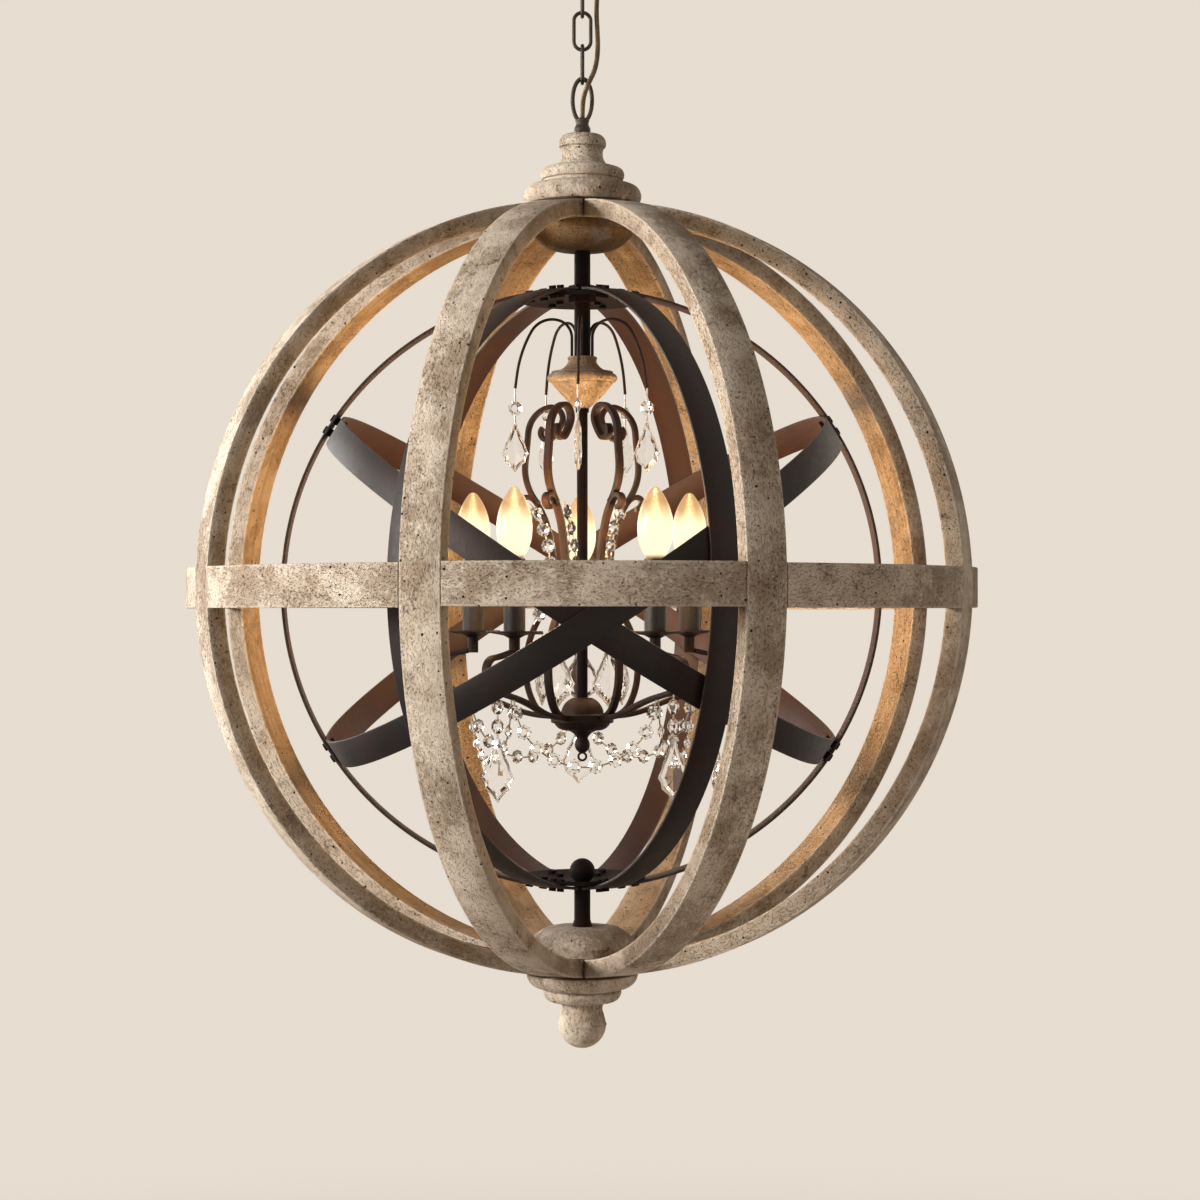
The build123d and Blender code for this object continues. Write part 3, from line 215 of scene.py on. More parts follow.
class Rule(NodeTree):
    """A Geometry Nodes tree with named inputs that makes plain meshes."""

    def __init__(self, name, inputs):
        self.tree = bpy.data.node_groups.new(name, "GeometryNodeTree")
        self.tree.interface.new_socket("Shape", in_out="OUTPUT", socket_type="NodeSocketGeometry")
        self.names = {}
        for label, kind in {"Path": "Geometry", **inputs, "Finish": "Material"}.items():
            socket = self.tree.interface.new_socket(label, in_out="INPUT", socket_type=f"NodeSocket{kind}")
            self.names[label] = socket.identifier
        self.entry = self.tree.nodes.new("NodeGroupInput")

    def given(self, label):
        return Wire(self.tree, self.entry.outputs[label])

    def path(self):
        """The drawn line as a curve."""
        return self.node("GeometryNodeMeshToCurve", Mesh=self.given("Path"))

    def store(self, shape, name, kind, value):
        settings = {"data_type": kind, "domain": "POINT"}
        return self.node("GeometryNodeStoreNamedAttribute", settings, Geometry=shape, Name=name, Value=value)

    def section(self, outline):
        """An outline that remembers where on it each point is."""
        return self.store(outline, "section", "FLOAT_VECTOR", self.node("GeometryNodeInputPosition"))

    def bar_section(self):
        """A rectangle with rounded corners."""
        blank = self.node(
            "GeometryNodeCurvePrimitiveQuadrilateral", Width=self.given("Thick"), Height=self.given("Wide")
        )
        return self.section(self.node(
            "GeometryNodeFilletCurve", {"mode": "POLY"}, Curve=blank, Radius=self.given("Round"), Count=2
        ))

    def sweep(self, path, section):
        """Carry the section along the path and store the coordinates that the grain follows."""
        length = self.node("GeometryNodeSplineParameter", output="Length")
        marked = self.store(path, "along", "FLOAT", length)
        bar = self.node("GeometryNodeCurveToMesh", Curve=marked, Profile_Curve=section, Fill_Caps=True)
        along = self.node("GeometryNodeInputNamedAttribute", {"data_type": "FLOAT"}, Name="along")
        place = self.node("GeometryNodeInputNamedAttribute", {"data_type": "FLOAT_VECTOR"}, Name="section")
        deep, across, _ = self.parts(place)
        seed = self.given("Seed")
        grain = self.node(
            "ShaderNodeCombineXYZ", X=along + seed * SEED_ALONG, Y=across + seed * SEED_ACROSS, Z=deep
        )
        return self.store(bar, "grain", "FLOAT_VECTOR", grain)

    def spots(self, count):
        """Points between two shares of the drawn line, their tangents, normals and turns."""
        start, end = self.given("Start"), self.given("End")
        run = self.node("GeometryNodeTrimCurve", {"mode": "FACTOR"}, Curve=self.path(), Start=start, End=end)
        return split(self.node(
            "GeometryNodeCurveToPoints", {"mode": "COUNT"}, Curve=run, Count=self.given(count)
        ))

    def ring(self, shape):
        """Repeat a shape round the lamp's axis."""
        points = self.node("GeometryNodePoints", Count=self.given("Copies"))
        index = self.node("GeometryNodeInputIndex")
        turn = self.node("ShaderNodeCombineXYZ", Z=self.given("First") + index * self.given("Step"))
        return self.node("GeometryNodeInstanceOnPoints", Points=points, Instance=shape, Rotation=turn)

    def close(self, shape):
        realised = self.node("GeometryNodeRealizeInstances", Geometry=shape)
        done = self.node("GeometryNodeSetMaterial", Geometry=realised, Material=self.given("Finish"))
        leave = self.tree.nodes.new("NodeGroupOutput")
        self.tree.links.new(done.socket, leave.inputs["Shape"])

    def make(self, name, finish, points=(), place=None, sharp=SHARP, **values):
        """Run the rule on a drawn line and keep the result as a plain mesh."""
        drawn = bpy.data.meshes.new(name + "_line")
        drawn.from_pydata(points, [(i, i + 1) for i in range(len(points) - 1)], [])
        host = add_object(name + "_line", drawn)
        modifier = host.modifiers.new("rule", "NODES")
        modifier.node_group = self.tree
        for label, value in {**values, "Finish": finish}.items():
            modifier[self.names[label]] = value
        graph = bpy.context.evaluated_depsgraph_get()
        mesh = bpy.data.meshes.new_from_object(
            host.evaluated_get(graph), preserve_all_data_layers=True, depsgraph=graph
        )
        bpy.data.objects.remove(host)
        bpy.data.meshes.remove(drawn)
        return place_mesh(name, mesh, place, sharp)


# %% Meshes and their bodies
def place_mesh(name, mesh, place=None, sharp=SHARP):
    """Put a finished mesh in the scene, smooth except at edges sharper than an angle in degrees."""
    mesh.name = name
    if place is not None:
        mesh.transform(place)
    mesh.shade_smooth()
    mesh.set_sharp_from_angle(angle=radians(sharp))
    return add_object(name, mesh)


def put(piece, body, slot, *nodes):
    """The piece moves with a body and stands for some solids; the slot is not used."""
    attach(piece, body)
    if nodes:
        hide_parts(*nodes)
    return piece


# %% Bent bars
BAR_INPUTS = {"Thick": "Float", "Wide": "Float", "Round": "Float", "Seed": "Float"}
ARC_INPUTS = {"Radius": "Float", "Start": "Float", "Sweep": "Float", "Steps": "Int", "Closed": "Bool"}
MITRE_INPUTS = {"Shift": "Float", "Mitre": "Float", "Blunt": "Float"}
bent_bar = Rule("bent_bar", {**ARC_INPUTS, **MITRE_INPUTS, **BAR_INPUTS})
arc = bent_bar.node(
    "GeometryNodeCurveArc", {"mode": "RADIUS"}, Resolution=bent_bar.given("Steps"),
    Radius=bent_bar.given("Radius"), Start_Angle=bent_bar.given("Start"), Sweep_Angle=bent_bar.given("Sweep"),
)
arc = bent_bar.node("GeometryNodeSetSplineCyclic", Geometry=arc, Cyclic=bent_bar.given("Closed"))
shift = bent_bar.node("ShaderNodeCombineXYZ", X=bent_bar.given("Shift"))
arc = bent_bar.node("GeometryNodeTransform", Geometry=arc, Translation=shift)
bar = bent_bar.sweep(arc, bent_bar.bar_section())
spot_x, spot_y, spot_z = bent_bar.parts(bent_bar.node("GeometryNodeInputPosition"))
reach = abs(spot_x) * bent_bar.given("Mitre") + bent_bar.given("Blunt")
narrowed = bent_bar.node("ShaderNodeClamp", Value=spot_z, Min=reach * -1, Max=reach)
trimmed = bent_bar.node("ShaderNodeCombineXYZ", X=spot_x, Y=spot_y, Z=narrowed)
bent_bar.close(bent_bar.node("GeometryNodeSetPosition", Geometry=bar, Position=trimmed))
print("rule", bent_bar.tree.name)

# %% Drawn bars and wires
REPEAT_INPUTS = {"Copies": "Int", "First": "Float", "Step": "Float"}
ONCE = {"Copies": 1, "First": 0.0, "Step": 0.0}
drawn_bar = Rule("drawn_bar", {**BAR_INPUTS, **REPEAT_INPUTS})
flat_bar = drawn_bar.sweep(drawn_bar.path(), drawn_bar.bar_section())
upright_bar = drawn_bar.node("GeometryNodeTransform", Geometry=flat_bar, Rotation=(pi / 2, 0, 0))
drawn_bar.close(drawn_bar.ring(upright_bar))

WIRE_SIDES = 14
drawn_wire = Rule("drawn_wire", {"Radius": "Float", "Closed": "Bool", "Seed": "Float", **REPEAT_INPUTS})
wire_path = drawn_wire.node(
    "GeometryNodeSetSplineCyclic", Geometry=drawn_wire.path(), Cyclic=drawn_wire.given("Closed")
)
wire_circle = drawn_wire.node(
    "GeometryNodeCurvePrimitiveCircle", Resolution=WIRE_SIDES, Radius=drawn_wire.given("Radius")
)
drawn_wire.close(drawn_wire.ring(drawn_wire.sweep(wire_path, drawn_wire.section(wire_circle))))
print("rules", drawn_bar.tree.name, drawn_wire.tree.name)

# %% [markdown]
# ## Camera
# The photograph was taken level, 2.6 metres from the lamp's axis and a little to the left of its front. A
# camera set by eye would hide small errors of shape, so this one was worked out from the edges of the
# ribs. It looks at the frame's middle, slightly right of the axis and slightly under the globe's centre.

# %% Camera
CAMERA_DISTANCE, CAMERA_DROP, CAMERA_TURN = 2.597, 0.026, radians(1.55)
AIM_RIGHT, AIM_DOWN = 0.0181, 0.0118
SENSOR, FOCAL_PIXELS, IMAGE_PIXELS = 36, 2540, 1200
camera_data = bpy.data.cameras.new("camera")
camera_data.sensor_width = SENSOR
camera_data.lens = SENSOR * FOCAL_PIXELS / IMAGE_PIXELS
camera = add_object("camera", camera_data)
camera.location = (
    -CAMERA_DISTANCE * sin(CAMERA_TURN), -CAMERA_DISTANCE * cos(CAMERA_TURN), GLOBE_Z - CAMERA_DROP
)
right = Vector((cos(CAMERA_TURN), -sin(CAMERA_TURN), 0))
look_at = CENTRE + right * AIM_RIGHT + Vector((0, 0, -AIM_DOWN))
camera.rotation_euler = (look_at - camera.location).to_track_quat("-Z", "Y").to_euler()
bpy.context.scene.camera = camera
print("camera", [round(value, 3) for value in camera.location], "lens", round(camera_data.lens, 1))

# %% [markdown]
# ## Supply cord
# A brown, slightly clear twin cord leaves the collar on top of the globe, crosses to the right of the
# chain and goes into the canopy. A curve with a round bevel would be quicker, but it can't show two
# cores. So an outline of two cores follows a smooth NURBS line. The chain bends at every link, and the
# cord is cut there into four tubes end to end, each running from one link to the next.

# %% Cord finish
cord_finish = Finish("clear_brown_cord")
cord_cloud = cord_finish.noise(cord_finish.place, scale=90, detail=3, roughness=0.5)
cord_finish.surface(
    Base_Color=mix(cord_cloud.over(0.35, 0.65), rgba(0.135, 0.088, 0.040), rgba(0.27, 0.185, 0.095)),
    Roughness=0.28 + cord_cloud * 0.15, Normal=cord_finish.bump(cord_cloud, 0.0004),
    Transmission_Weight=0.25, IOR=1.46,
)
print("cord finish", cord_finish.material.name)

# %% Cord route
CORD_ROUTE = (
    (19, 6.5, -25), (19, 6.5, -35), (18, 7.5, -55.4), (15.5, 8, -74.4), (14.5, 6, -95.4), (15.5, 2, -115.4),
    (16, -3, -137.4), (13, -9, -157.4), (6, -11, -171.4), (1, -7, -184.4), (0, -0.5, -197.4), (0, 0, -211.4),
)


def run_length(line):
    return sum((Vector(b) - Vector(a)).length for a, b in zip(line, line[1:]))


route_data = bpy.data.curves.new("cord_route", "CURVE")
route_data.dimensions = "3D"
route_data.resolution_u = 24
route = route_data.splines.new("NURBS")
route.points.add(len(CORD_ROUTE) - 1)
for point, place in zip(route.points, CORD_ROUTE):
    point.co = (*metres(*place), 1)
route.order_u = 3
route.use_endpoint_u = True
route_object = add_object("cord_route", route_data)
route_graph = bpy.context.evaluated_depsgraph_get()
route_mesh = bpy.data.meshes.new_from_object(route_object.evaluated_get(route_graph))
route_line = [vertex.co.copy() for vertex in route_mesh.vertices]
bpy.data.objects.remove(route_object)
bpy.data.meshes.remove(route_mesh)
print("cord", len(route_line), "points,", round(run_length(route_line), 4), "m")


# %% Cord section and tube
CORD_WIDE, CORE_R, CORE_GAP, CORE_STEPS = 0.0055, 0.00145, 0.0013, 14
CORD_BROAD = Vector((0.8, 0.6, 0))
CORD_SHARP = 50


def twin_core():
    """The outline of two cores that touch, in metres across and through the cord."""
    notch = acos(CORE_GAP / CORE_R)
    turns = [-pi + notch + (2 * pi - 2 * notch) * i / CORE_STEPS for i in range(CORE_STEPS + 1)]
    right_half = [(CORE_GAP + CORE_R * cos(turn), CORE_R * sin(turn)) for turn in turns]
    return right_half + [(-x, -y) for x, y in right_half]


def join_rings(build, rings):
    """Faces between neighbouring rings of corners; a ring of one corner is a tip."""
    around = max(len(ring) for ring in rings)
    for lower, upper in zip(rings, rings[1:]):
        for i in range(around):
            j = (i + 1) % around
            below = lower[i % len(lower)], lower[j % len(lower)]
            above = upper[j % len(upper)], upper[i % len(upper)]
            corners = list(dict.fromkeys(below + above))
            if len(corners) > 2:
                build.faces.new(corners)


def finished_mesh(name, build, finish):
    """Turn faces outwards, and make a mesh with a finish."""
    bmesh.ops.recalc_face_normals(build, faces=build.faces)
    mesh = bpy.data.meshes.new(name)
    build.to_mesh(mesh)
    build.free()
    mesh.materials.append(finish)
    return mesh


def cord_tube(name, line):
    """Carry the twin outline along a line, its broad side turned one way."""
    outline = twin_core()
    build = bmesh.new()
    rings = []
    for index, point in enumerate(line):
        tangent = (line[min(index + 1, len(line) - 1)] - line[max(index - 1, 0)]).normalized()
        across = (CORD_BROAD - tangent * tangent.dot(CORD_BROAD)).normalized()
        through = tangent.cross(across)
        rings.append([build.verts.new(point + across * x + through * y) for x, y in outline])
    join_rings(build, rings)
    build.faces.new(list(reversed(rings[0])))
    build.faces.new(rings[-1])
    return place_mesh(name, finished_mesh(name, build, cord_finish.material), sharp=CORD_SHARP)


# %% Cord tubes
CHAIN_BODIES = ("ceiling", "link_1", "link_2", "link_3", "lamp")
LINK_HEIGHTS = metres(-81.9, -116.0, -150.1)
CANOPY_END, COLLAR_END = Vector((0, 0, -0.030)), Vector((0, 0, -0.205))
cuts = [min(range(len(route_line)), key=lambda i: abs(route_line[i].z - height)) for height in LINK_HEIGHTS]
cuts = [0, *cuts, len(route_line) - 1]
for number, (upper, lower) in enumerate(zip(CHAIN_BODIES, CHAIN_BODIES[1:])):
    line = route_line[cuts[number]: cuts[number + 1] + 1]
    tube = cord_tube(f"cord_{number + 1}", line)
    start = CANOPY_END if upper == "ceiling" else line[0]
    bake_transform(tube)
    if upper == "ceiling":
        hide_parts("supply_cord")
print("cord tubes cut at", [round(route_line[cut].z, 4) for cut in cuts])

# %% [markdown]
# ## Room and light
# A pale floor lies well under the hanging lamp and fades into a pale world. One world light would show
# every shape, but flat. So a big soft light stands at the front left, as in the photograph, a weaker one
# behind it draws a rim on the left, and two weak ones fill the right side. A small warm lamp in each
# candle bulb gilds the inside of the ribs, and moves with its bulb.

# %% Floor
PALE, BLACK = rgba(0.80, 0.73, 0.65), rgba(0, 0, 0)
FLOOR_Z, FLOOR_R, FLOOR_SIDES = -2.2, 5, 64
FLOOR_FADE, FLOOR_SHOWN = (2.0, 4.5), rgba(0.42, 0.38, 0.335)
floor_finish = Finish("pale_floor")
distance = floor_finish.node(
    "ShaderNodeVectorMath", {"operation": "LENGTH"}, "Value", Vector=floor_finish.place
)
floor_seen = floor_finish.node("ShaderNodeLightPath")
floor_finish.surface(
    Base_Color=PALE, Roughness=0.9, Alpha=1 - distance.over(*FLOOR_FADE), Emission_Strength=1.0,
    Emission_Color=mix(floor_seen, BLACK, FLOOR_SHOWN),
)
floor_mesh = bpy.data.meshes.new("floor")
floor_build = bmesh.new()
bmesh.ops.create_circle(floor_build, cap_ends=True, segments=FLOOR_SIDES, radius=FLOOR_R)
floor_build.to_mesh(floor_mesh)
floor_build.free()
floor_mesh.materials.append(floor_finish.material)
floor = add_object("floor", floor_mesh)
floor.location.z = FLOOR_Z
print("floor at", FLOOR_Z)

# %% World
WORLD_COLOUR, WORLD_LIGHT, WORLD_SHOWN = rgba(1.0, 0.90, 0.79), 0.17, 0.63
world = bpy.data.worlds.new("pale_world")
bpy.context.scene.world = world
world.use_nodes = True
sky = world.node_tree
rays = add_node(sky, "ShaderNodeLightPath").socket.node.outputs
camera_ray, glass_ray, gloss_ray = (
    Wire(sky, rays[f"Is {kind} Ray"]) for kind in ("Camera", "Transmission", "Glossy")
)
shown = camera_ray.math("MAXIMUM", camera_ray, glass_ray)
shown = shown.math("MAXIMUM", shown, gloss_ray)
strength = WORLD_LIGHT + shown * WORLD_SHOWN
fill_sockets(sky, sky.nodes["Background"], {"Color": WORLD_COLOUR, "Strength": strength})
bpy.context.scene.view_settings.view_transform = "Standard"
print("world", world.name)

# %% Studio lights
SOFT_BOX_SPREAD = radians(75)
# Each light's place from the globe's centre, its size, its power and its colour
STUDIO_LIGHTS = {
    "key_light": ((-3.4, -1.2, 0.8), 1.5, 36, (1.0, 0.945, 0.87)),
    "fill_light": ((2.2, -2.8, -0.4), 1.8, 3, (1.0, 0.82, 0.62)),
    "rim_light": ((-2.6, 2.4, 0.6), 1.5, 12, (1.0, 0.96, 0.92)),
    "back_light": ((2.6, 2.4, 0.7), 1.8, 1.8, (1.0, 0.82, 0.64)),
}
for name, (place, size, watts, colour) in STUDIO_LIGHTS.items():
    data = bpy.data.lights.new(name, "AREA")
    data.shape = "DISK"
    data.size = size
    data.energy = watts
    data.spread = SOFT_BOX_SPREAD
    data.color = colour
    lamp = add_object(name, data)
    lamp.location = CENTRE + Vector(place)
    lamp.rotation_euler = (CENTRE - lamp.location).to_track_quat("-Z", "Y").to_euler()
print("studio lights", list(STUDIO_LIGHTS))

# %% Bulb lights
ARM_FIRST, FIFTH_TURN = radians(-54), radians(72)
BULB_RING, BULB_GLOW_Z, BULB_GLOW_R = 0.118, 0.055, 0.015
BULB_WATTS, BULB_COLOUR = 1.15, (1.0, 0.64, 0.30)
for number in range(5):
    bulb_turn = ARM_FIRST + FIFTH_TURN * number
    glow_data = bpy.data.lights.new(f"bulb_light_{number + 1}", "POINT")
    glow_data.energy = BULB_WATTS
    glow_data.color = BULB_COLOUR
    glow_data.shadow_soft_size = BULB_GLOW_R
    glow_lamp = add_object(f"bulb_light_{number + 1}", glow_data)
    glow_place = Vector((BULB_RING * cos(bulb_turn), BULB_RING * sin(bulb_turn), BULB_GLOW_Z))
    glow_lamp.location = CENTRE + glow_place
    bpy.context.view_layer.update()
    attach(glow_lamp, f"bulb_{number + 1}")
print("bulb lights 5, of", BULB_WATTS, "W")

# %% [markdown]
# ## Limewashed wood
# The wood was limewashed, rubbed back and left to age. Close up it is chalky cream over grey-brown, with
# fine dark grain, thin cracks, small worm holes and bare pale edges. All of it follows the grain
# coordinates that each piece carries, so the streaks run along every rib. A picture of wood would be
# quicker, but it would not bend with the ribs.

# %% Limewash values
CHALK = rgba(0.79, 0.69, 0.585)
LIME = rgba(0.60, 0.495, 0.395)
STAIN = rgba(0.24, 0.158, 0.092)
HONEY = rgba(0.44, 0.25, 0.095)
GRAIN_DARK = rgba(0.080, 0.050, 0.032)
HOLE = rgba(0.020, 0.013, 0.008)
# How strongly each layer shows, from 0 to 1
INSIDE_HONEY_AND_GLOW, INSIDE_STREAK, SIDE_PAINTED_SHADE, WORN_STAIN = 0.62, 0.4, 0.36, 0.54
STREAK_DARK, FLECK_DARK, PIT_DARK, EDGE_CHALK, CRACK_DARK = 0.2, 0.36, 0.85, 0.7, 0.6
WOOD_RELIEF, WOOD_GLOSS = 0.0017, 0.22
HOLE_LEAST, HOLE_MORE, CRACK_STRETCH = 0.06, 0.09, (11, 26, 26)


# %% Worm holes and cracks
def worm_holes(finish, grain):
    """Some cells of a cell pattern hold a hole; the cell's own random colour says which, and how wide."""
    boring = finish.node("ShaderNodeTexVoronoi", Vector=grain, Scale=110, Randomness=1.0)
    near_hole, cell_draw, _ = split(boring)[:3]
    lot, hole_size, _ = split(finish.node("ShaderNodeSeparateColor", Color=cell_draw))
    return (HOLE_LEAST + hole_size * HOLE_MORE - near_hole).over(-0.006, 0.012) * lot.over(0.36, 0.40)


def cracks(finish, grain, tone):
    """Cracks run on the edges of long, wandering cells, where the wash is dark."""
    wander = finish.node("ShaderNodeTexNoise", output="Color", Vector=grain, Scale=45, Detail=3)
    crazed = finish.node("ShaderNodeMapping", Vector=grain, Location=wander, Scale=CRACK_STRETCH)
    near_crack = finish.node("ShaderNodeTexVoronoi", {"feature": "DISTANCE_TO_EDGE"}, Vector=crazed, Scale=1)
    return (1 - near_crack.over(0.004, 0.018)) * tone.over(0.50, 0.58)


# %% Limewash formula
def limewashed(name, wear, bare=0, half_wide=None, half_thick=None):
    """Limewashed wood, worn and bare from 0 to 1; a bar's half sizes let its faces and edges differ."""
    finish = Finish(name)
    grain = finish.attribute("grain")
    wear_cloud = finish.noise(grain, scale=9, detail=4, roughness=0.62)
    tone = finish.noise(grain, scale=30, detail=5, roughness=0.66)
    chips = finish.noise(finish.stretched(grain, 170, 250), detail=6, roughness=0.74)
    fleck = finish.noise(finish.stretched(grain, 330, 800), detail=3, roughness=0.62)
    pits = finish.noise(finish.stretched(grain, 380, 520), detail=2, roughness=0.5)
    streak = finish.noise(finish.stretched(grain, 8, 190), detail=5, roughness=0.62)
    hole = worm_holes(finish, grain)
    # The wash is rubbed off in patches, and there the grain is open
    patch = tone.over(0.42, 0.66) * 0.08 + wear_cloud.over(0.42, 0.60) * 0.26
    worn = (chips + patch + (wear - 0.5) * 0.2).over(0.56, 0.80)
    open_grain = 0.2 + (tone * 0.5 + wear_cloud * 0.5).over(0.44, 0.62) * 0.8
    colour = mix(tone.over(0.36, 0.64), CHALK, LIME)
    colour = mix(tone.over(0.30, 0.50) * bare, colour, HONEY)
    if half_wide:
        deep, across, _ = finish.parts(finish.attribute("section"))
        side = abs(across).over(half_wide * 0.95, half_wide * 0.995)
        inside = (0 - deep).over(half_thick * 0.6, half_thick * 0.98) * (1 - side)
        # The honey on the bars' inner faces is partly bare wood and partly a painted warm glow of the bulbs
        colour = mix(inside * INSIDE_HONEY_AND_GLOW, colour, HONEY)
        colour = mix(inside * streak.over(0.46, 0.66) * INSIDE_STREAK, colour, STAIN)
        # Painted shade: the bars' side faces are darkened with stain colour where shade falls on them
        colour = mix(side * SIDE_PAINTED_SHADE, colour, STAIN)
    colour = mix(worn * WORN_STAIN, colour, STAIN)
    colour = mix(streak.over(0.56, 0.74) * STREAK_DARK, colour, GRAIN_DARK)
    colour = mix(fleck.over(0.58, 0.71) * open_grain * FLECK_DARK, colour, GRAIN_DARK)
    colour = mix(pits.over(0.64, 0.70) * open_grain * PIT_DARK, colour, GRAIN_DARK)
    if half_wide:
        edge = 1 - ((half_wide - abs(across)) + (half_thick - abs(deep))).over(0.0004, 0.0030)
        colour = mix(edge * chips.over(0.40, 0.52) * EDGE_CHALK, colour, CHALK)
    colour = mix(cracks(finish, grain, tone) * CRACK_DARK, colour, GRAIN_DARK)
    colour = mix(hole, colour, HOLE)
    sunk = pits.over(0.60, 0.72) * 0.9 + fleck.over(0.56, 0.72) * 0.8 + hole * 2.4 + streak * 0.4
    relief = finish.bump(chips * 1.1 - sunk, WOOD_RELIEF)
    return finish.surface(
        Base_Color=colour, Roughness=0.78 + chips * 0.18, Normal=relief, Specular_IOR_Level=WOOD_GLOSS
    )


# %% Wood finishes
RIB_WIDE, RIB_THICK, GLOBE_R = 0.040, 0.018, 0.400
bar_wood = limewashed("limewashed_bars", 0.5, 0, RIB_WIDE / 2, RIB_THICK / 2)
turned_wood = limewashed("limewashed_turning", 0.36)
stained_wood = limewashed("stained_turning", 0.9, 1.0)
spindle_wood = limewashed("limewashed_spindle", 0.6, 0.5)
print("wood finishes", [wood.name for wood in (bar_wood, turned_wood, stained_wood, spindle_wood)])

# %% [markdown]
# ## Ribs and band
# Each rib is half a ring of 40 by 18 mm stock, bent round a point just outside the axis. Near the poles
# it narrows to a mitre, so that all eight meet on the axis. The band is eight curved pieces between the
# ribs. A spin would give perfect rings, but on the real lamp the pieces never line up, so each piece is
# bent on its own and the band's pieces sit a fraction of a millimetre high or low.

# %% Ribs
POLE_SINK, RIB_SHORT, MITRE_EASE = 0.0075, 0.0015, 0.998
POLE_R = GLOBE_R - POLE_SINK
RIB_MIDDLE = POLE_R - RIB_THICK / 2
RIB_HALF_TURN = pi / 2 + (POLE_SINK - RIB_SHORT) / RIB_MIDDLE
RIB_MITRE = tan(pi / 8) * MITRE_EASE
UPRIGHT = Matrix.Rotation(pi / 2, 4, "X")
RIB_STOCK = {"Thick": RIB_THICK, "Wide": RIB_WIDE}
for number in range(8):
    turn = radians(-90 + 45 * (number + 0.5))
    rib = bent_bar.make(
        f"rib_{number + 1}_limed", bar_wood, place=AT_CENTRE @ Matrix.Rotation(turn, 4, "Z") @ UPRIGHT,
        Radius=RIB_MIDDLE, Start=-RIB_HALF_TURN, Sweep=2 * RIB_HALF_TURN, Steps=128, Shift=POLE_SINK,
        Mitre=RIB_MITRE, Blunt=0.0, Round=0.0011, Seed=number + 1.0, **RIB_STOCK,
    )
    put(rib, "lamp", "whitewashed_wood", f"rib_{number + 1}")
print("ribs 8, of radius", round(RIB_MIDDLE, 4))

# %% Band
BAND_SETTLE = (0.5, -0.4, 0.2, -0.7, 0.4, 0.7, -0.3, -0.5)
BAND_MIDDLE, BAND_JOINT = GLOBE_R - RIB_THICK / 2, 0.0002
UNMITRED = {"Mitre": 0.0, "Blunt": 1.0}
band_gap = (RIB_WIDE / 2 + BAND_JOINT) / BAND_MIDDLE
for number, settle in enumerate(BAND_SETTLE):
    start = radians(-90 + 45 * (number - 0.5)) + band_gap
    piece = bent_bar.make(
        f"band_{number + 1}_limed", bar_wood, place=Matrix.Translation(CENTRE + Vector((0, 0, settle * MM))),
        Radius=BAND_MIDDLE, Start=start, Sweep=pi / 4 - 2 * band_gap, Steps=28, Round=0.0010,
        Seed=20.0 + number, **RIB_STOCK, **UNMITRED,
    )
    put(piece, "lamp", "whitewashed_wood")
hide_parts("band_segments")

# %% [markdown]
# ## Turned wood
# The crown, the drop, both dishes and the spindle were turned on a lathe. A Screw modifier could spin
# them too, but a mesh made ring by ring can carry grain coordinates that run up the axis. The outlines
# are drawn as radius and height, from points and arcs.

# %% Lathe
TIP, TURNED_SHARP, GRAIN_START = 0.001, 32, 3.1


def bow(start, through, end, steps):
    """Points on the arc through three points, without its first."""
    ax, ay, bx, by, cx, cy = *start, *through, *end
    d = 2 * (ax * (by - cy) + bx * (cy - ay) + cx * (ay - by))
    ux = ((ax**2 + ay**2) * (by - cy) + (bx**2 + by**2) * (cy - ay) + (cx**2 + cy**2) * (ay - by)) / d
    uy = ((ax**2 + ay**2) * (cx - bx) + (bx**2 + by**2) * (ax - cx) + (cx**2 + cy**2) * (bx - ax)) / d
    radius = hypot(ax - ux, ay - uy)
    angles = [atan2(y - uy, x - ux) for x, y in (start, through, end)]
    sweep = (angles[2] - angles[0]) % (2 * pi)
    if (angles[1] - angles[0]) % (2 * pi) > sweep:
        sweep -= 2 * pi
    turns = [angles[0] + sweep * i / steps for i in range(1, steps + 1)]
    return [(ux + radius * cos(turn), uy + radius * sin(turn)) for turn in turns]


def profile(*steps):
    """An outline: a pair is a point; a longer step is an arc from the last point, or from its own start."""
    points = []
    for step in steps:
        if len(step) == 2:
            points.append(step)
        elif len(step) == 3:
            points += bow(points[-1], *step)
        else:
            points += bow(*step)
    return points


def turned(name, finish, outline, centre=CENTRE, around=96):
    """Spin an outline of radius and height in millimetres."""
    turns = [2 * pi * i / around for i in range(around)]
    build = bmesh.new()
    rings = []
    for radius, height in outline:
        z = centre.z + height * MM
        spread = [(radius * MM * cos(turn), radius * MM * sin(turn)) for turn in turns]
        rings.append([build.verts.new((x, y, z)) for x, y in (spread if radius > TIP else [(0, 0)])])
    join_rings(build, rings)
    mesh = finished_mesh(name, build, finish)
    grain = mesh.attributes.new("grain", "FLOAT_VECTOR", "POINT")
    for vertex, value in zip(mesh.vertices, grain.data):
        value.vector = (vertex.co.z + GRAIN_START, vertex.co.x, vertex.co.y)
    return place_mesh(name, mesh, sharp=TURNED_SHARP)


